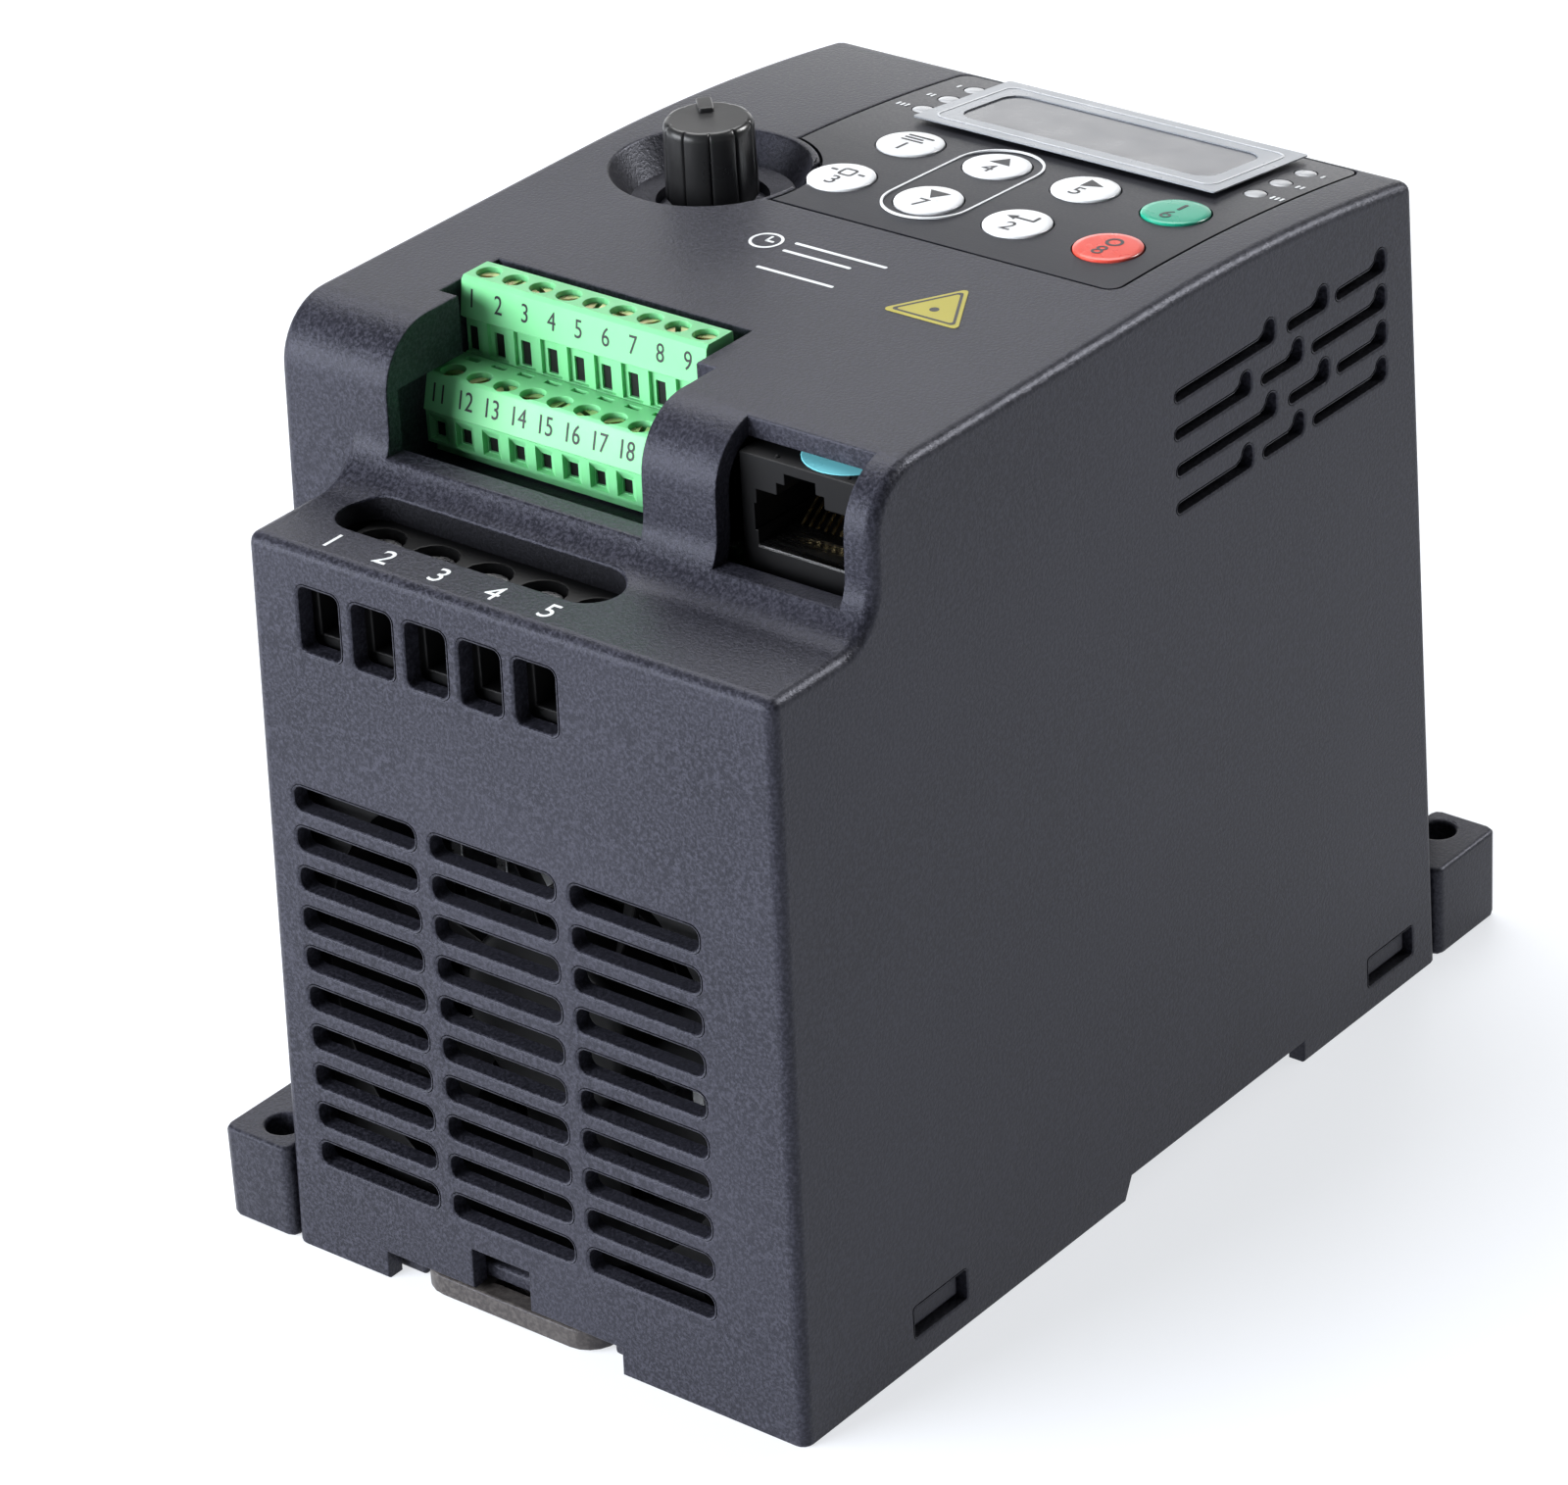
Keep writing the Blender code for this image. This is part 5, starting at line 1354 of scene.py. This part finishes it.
def build_knob():
    """Faceted knob with a rounded rim and a raised pointer tab."""
    low, high = box_mm("speed_knob")
    base_z, top_z = DISH_FLOOR_Z + 0.3, high.z - POINTER_HEIGHT
    steps = KNOB_FACETS * 24
    levels = [(0.0, 0.12), (0.2, 0.0), (8.3, 0.0), (8.6, 0.02)]
    levels += [(8.85, 0.08), (9.1, 0.2), (9.27, 0.36), (9.36, 0.55), (9.4, 0.8)]
    bm = bmesh.new()
    rings = []
    for height, inset in levels:
        ring = []
        for i in range(steps):
            radius = knob_radius(i / steps, height / 9.4) - inset
            angle = math.tau * i / steps + GROOVE_ANGLE
            x, y = KNOB_X + radius * math.cos(angle), KNOB_Y + radius * math.sin(angle)
            ring.append((x, y, base_z + height * (top_z - base_z) / 9.4))
        rings.append(ring)
    loft(bm, rings)
    knob = new_object("speed_knob_cap", bm)
    bm = bmesh.new()
    profile = [(2.9, 0.1), (3.0, 0.25), (3.0, base_z - low.z + 0.8)]
    turned(bm, (KNOB_X, KNOB_Y, low.z), profile, 32)
    post = new_object("post", bm)
    bm = bmesh.new()
    aim = (math.cos(POINTER_ANGLE), math.sin(POINTER_ANGLE), 0)
    across = (-aim[1], aim[0], 0)
    plane = Plane((KNOB_X, KNOB_Y, top_z), aim, across)
    tab = centred(3.5, 1.8, 0.4, 5, (3.3, 0.0))
    slab(bm, plane, tab, -0.9, POINTER_HEIGHT, 0.18, 3)
    pointer = new_object("pointer", bm)
    boolean(knob, "UNION", post, pointer)
    apply(knob, post, pointer)
    finish(knob, "knob", "speed_knob", ("speed_knob",), angle=40)


# ---- printing

BADGE_X, BADGE_Y = 21.3, NEAR_END + 57.6


def soft_triangle(corners, reach, radius, steps=6):
    """A triangle with rounded corners, from unit corner directions."""
    points = []
    for x, y in corners:
        heading = math.degrees(math.atan2(y, x))
        middle = (x * (reach - radius), y * (reach - radius))
        points += arc(middle, radius, heading - 60, heading + 60, steps)
    return points


def build_printing():
    """Plain generic marks where the real drive carries words and signs."""
    white, ink = bmesh.new(), bmesh.new()
    step = Plane((0, NEAR_END + 6.1, STEP_Z))
    for pole in range(5):
        place = (OUTPUT_FIRST_X - 0.3 + pole * POLE_PITCH, 0)
        add_text(white, str(pole + 1), step, 4.2, PRINT_LIFT, 0.03, place)
    far_step = Plane((0, FAR_END - 2.7, STEP_Z), (-1, 0, 0), (0, -1, 0), (0, 0, 1))
    for pole in range(3):
        place = (-(MAINS_FIRST_X + pole * POLE_PITCH), 0)
        add_text(white, str(pole + 6), far_step, 2.9, PRINT_LIFT, 0.03, place)
    sign = Plane((-5.6, NEAR_END + 62.2, PANEL_Z))
    print_flat(white, sign, circle(2.0, 48), circle(1.65, 48), PRINT_LIFT)
    bar(white, sign, 0.0, 0.6, 0.34, 1.3, PRINT_LIFT)
    bar(white, sign, 0.45, 0.0, 1.2, 0.34, PRINT_LIFT)
    for start, end, y in ((3.2, 15.9, 1.1), (3.2, 12.6, -1.1), (3.4, 14.0, -6.0)):
        bar(white, sign, (start + end) / 2, y, end - start, 0.45, PRINT_LIFT)
    for row_of in CONTROL_ROWS.values():
        index = row_of["label"]
        low, high = row_of["section"][index : index + 2]
        lean = Vector((0, high[0] - low[0], high[1] - low[1])).normalized()
        face = Plane(
            (0, NEAR_END + (low[0] + high[0]) / 2, (low[1] + high[1]) / 2 + 0.1),
            (1, 0, 0),
            lean,
            Vector((1, 0, 0)).cross(lean),
        )
        for pole, x in enumerate(control_places()):
            number = str(row_of["first"] + pole)
            add_text(ink, number, face, 3.1, PRINT_LIFT, 0.02, (x - 0.5, 0.0), 0.8)
    finish(new_object("panel_print", white), "white_ink")
    finish(new_object("terminal_numbers", ink), "ink")
    badge = Plane((BADGE_X, BADGE_Y, PANEL_Z))
    corners = arc((0.0, 0.0), 1.0, 90, 450, 3)[:-1]
    with piece("panel_badge", "yellow", "overlay_film") as bm:
        slab(bm, badge, soft_triangle(corners, 5.5, 0.5), 0.0, 0.07, 0.03)
    with piece("panel_badge_ring", "ink", "component_black") as bm:
        outer, inner = soft_triangle(corners, 4.7, 0.4), soft_triangle(corners, 4.15, 0.3)
        print_flat(bm, badge, outer, inner, 0.065, 0.02)
        print_flat(bm, badge, circle(0.55, 32, (0.0, -0.3)), None, 0.065, 0.02)


# ---- floor, light


def build_stage():
    bm = bmesh.new()
    bmesh.ops.create_grid(bm, x_segments=1, y_segments=1, size=4000.0)
    floor = new_object("floor", bm)
    look = Look(
        "floor_paper", (0.34, 0.35, 0.375), 0.75, Emission_Color=(0.95, 0.97, 1.0, 1.0),
        Emission_Strength=0.72,
    )
    look.bump(look.noise(900.0, 2.0, 0.5), 0.00001)
    look.tint(look.remap(look.noise(1.5, 2.0, 0.5), 0.4, 0.7, 0.0, 0.3), (0.46, 0.47, 0.5))
    floor.data.materials.append(look.material)


def area_light(name, place, target, size, power, colour=(1, 1, 1)):
    data = bpy.data.lights.new(name, "AREA")
    data.shape = "RECTANGLE"
    data.size, data.size_y = size
    data.energy = power
    data.color = colour
    made = bpy.data.objects.new(name, data)
    made.location = place
    made.rotation_euler = (Vector(target) - Vector(place)).to_track_quat("-Z", "Y").to_euler()
    bpy.context.scene.collection.objects.link(made)
    return made


def build_light():
    world = bpy.data.worlds.new("studio")
    world.use_nodes = True
    background = world.node_tree.nodes["Background"]
    background.inputs["Color"].default_value = (0.93, 0.95, 1.0, 1.0)
    background.inputs["Strength"].default_value = 0.12
    nodes, links = world.node_tree.nodes, world.node_tree.links
    seen = nodes.new("ShaderNodeBackground")
    seen.inputs["Color"].default_value = (0.9, 0.92, 0.96, 1.0)
    choice = nodes.new("ShaderNodeMixShader")
    path = nodes.new("ShaderNodeLightPath")
    links.new(path.outputs["Is Camera Ray"], choice.inputs["Fac"])
    links.new(background.outputs["Background"], choice.inputs[1])
    links.new(seen.outputs["Background"], choice.inputs[2])
    links.new(choice.outputs["Shader"], nodes["World Output"].inputs["Surface"])
    bpy.context.scene.world = world
    area_light("key", (-0.5, 0.45, 1.15), (0, 0, 0.05), (0.9, 0.9), 14.5)
    area_light("back_card", (-1.0, 1.2, 0.3), (0, 0, 0.08), (1.6, 0.5), 6.0)
    edge = area_light("edge_card", (0.68, 0.98, 0.82), (0, 0, 0.06), (0.5, 0.5), 26.0)
    edge.visible_diffuse = False
    cool = (0.93, 0.96, 1.0)
    area_light("front_card", (-0.72, -1.0, 0.26), (0, 0, 0.06), (1.2, 0.5), 15.0, cool)
    fill = area_light("front_fill", (-0.5, -0.8, 0.4), (0, 0, 0.07), (0.8, 0.4), 17.0, cool)
    fill.visible_glossy = False
    bpy.context.scene.view_settings.view_transform = "Standard"


def build_camera():
    """The viewpoint of the picture: 40 degrees to the right of the output end, 28 up."""
    right = Vector((0.7836, 0.6191, -0.0516))
    up = Vector((-0.2605, 0.4028, 0.8774))
    forward = Vector((-0.5640, 0.6741, -0.4769))
    right = (right - forward * right.dot(forward)).normalized()
    up = right.cross(forward).normalized()
    turn = Matrix((right, up, -forward.normalized())).transposed().to_4x4()
    data = bpy.data.cameras.new("camera")
    data.lens = 140.3
    data.sensor_width = 36.0
    data.clip_start = 0.01
    made = bpy.data.objects.new("camera", data)
    made.matrix_world = Matrix.Translation((0.3901, -0.4813, 0.3795)) @ turn
    bpy.context.scene.collection.objects.link(made)
    bpy.context.scene.camera = made


looks = make_looks()
build_cover()
build_structure()
build_rotor()
build_control_row("upper")
build_control_row("lower")
build_jack()
build_overlay()
build_keys()
build_lights()
build_keypad_print()
build_display()
build_knob()
build_printing()
build_stage()
build_light()
build_camera()
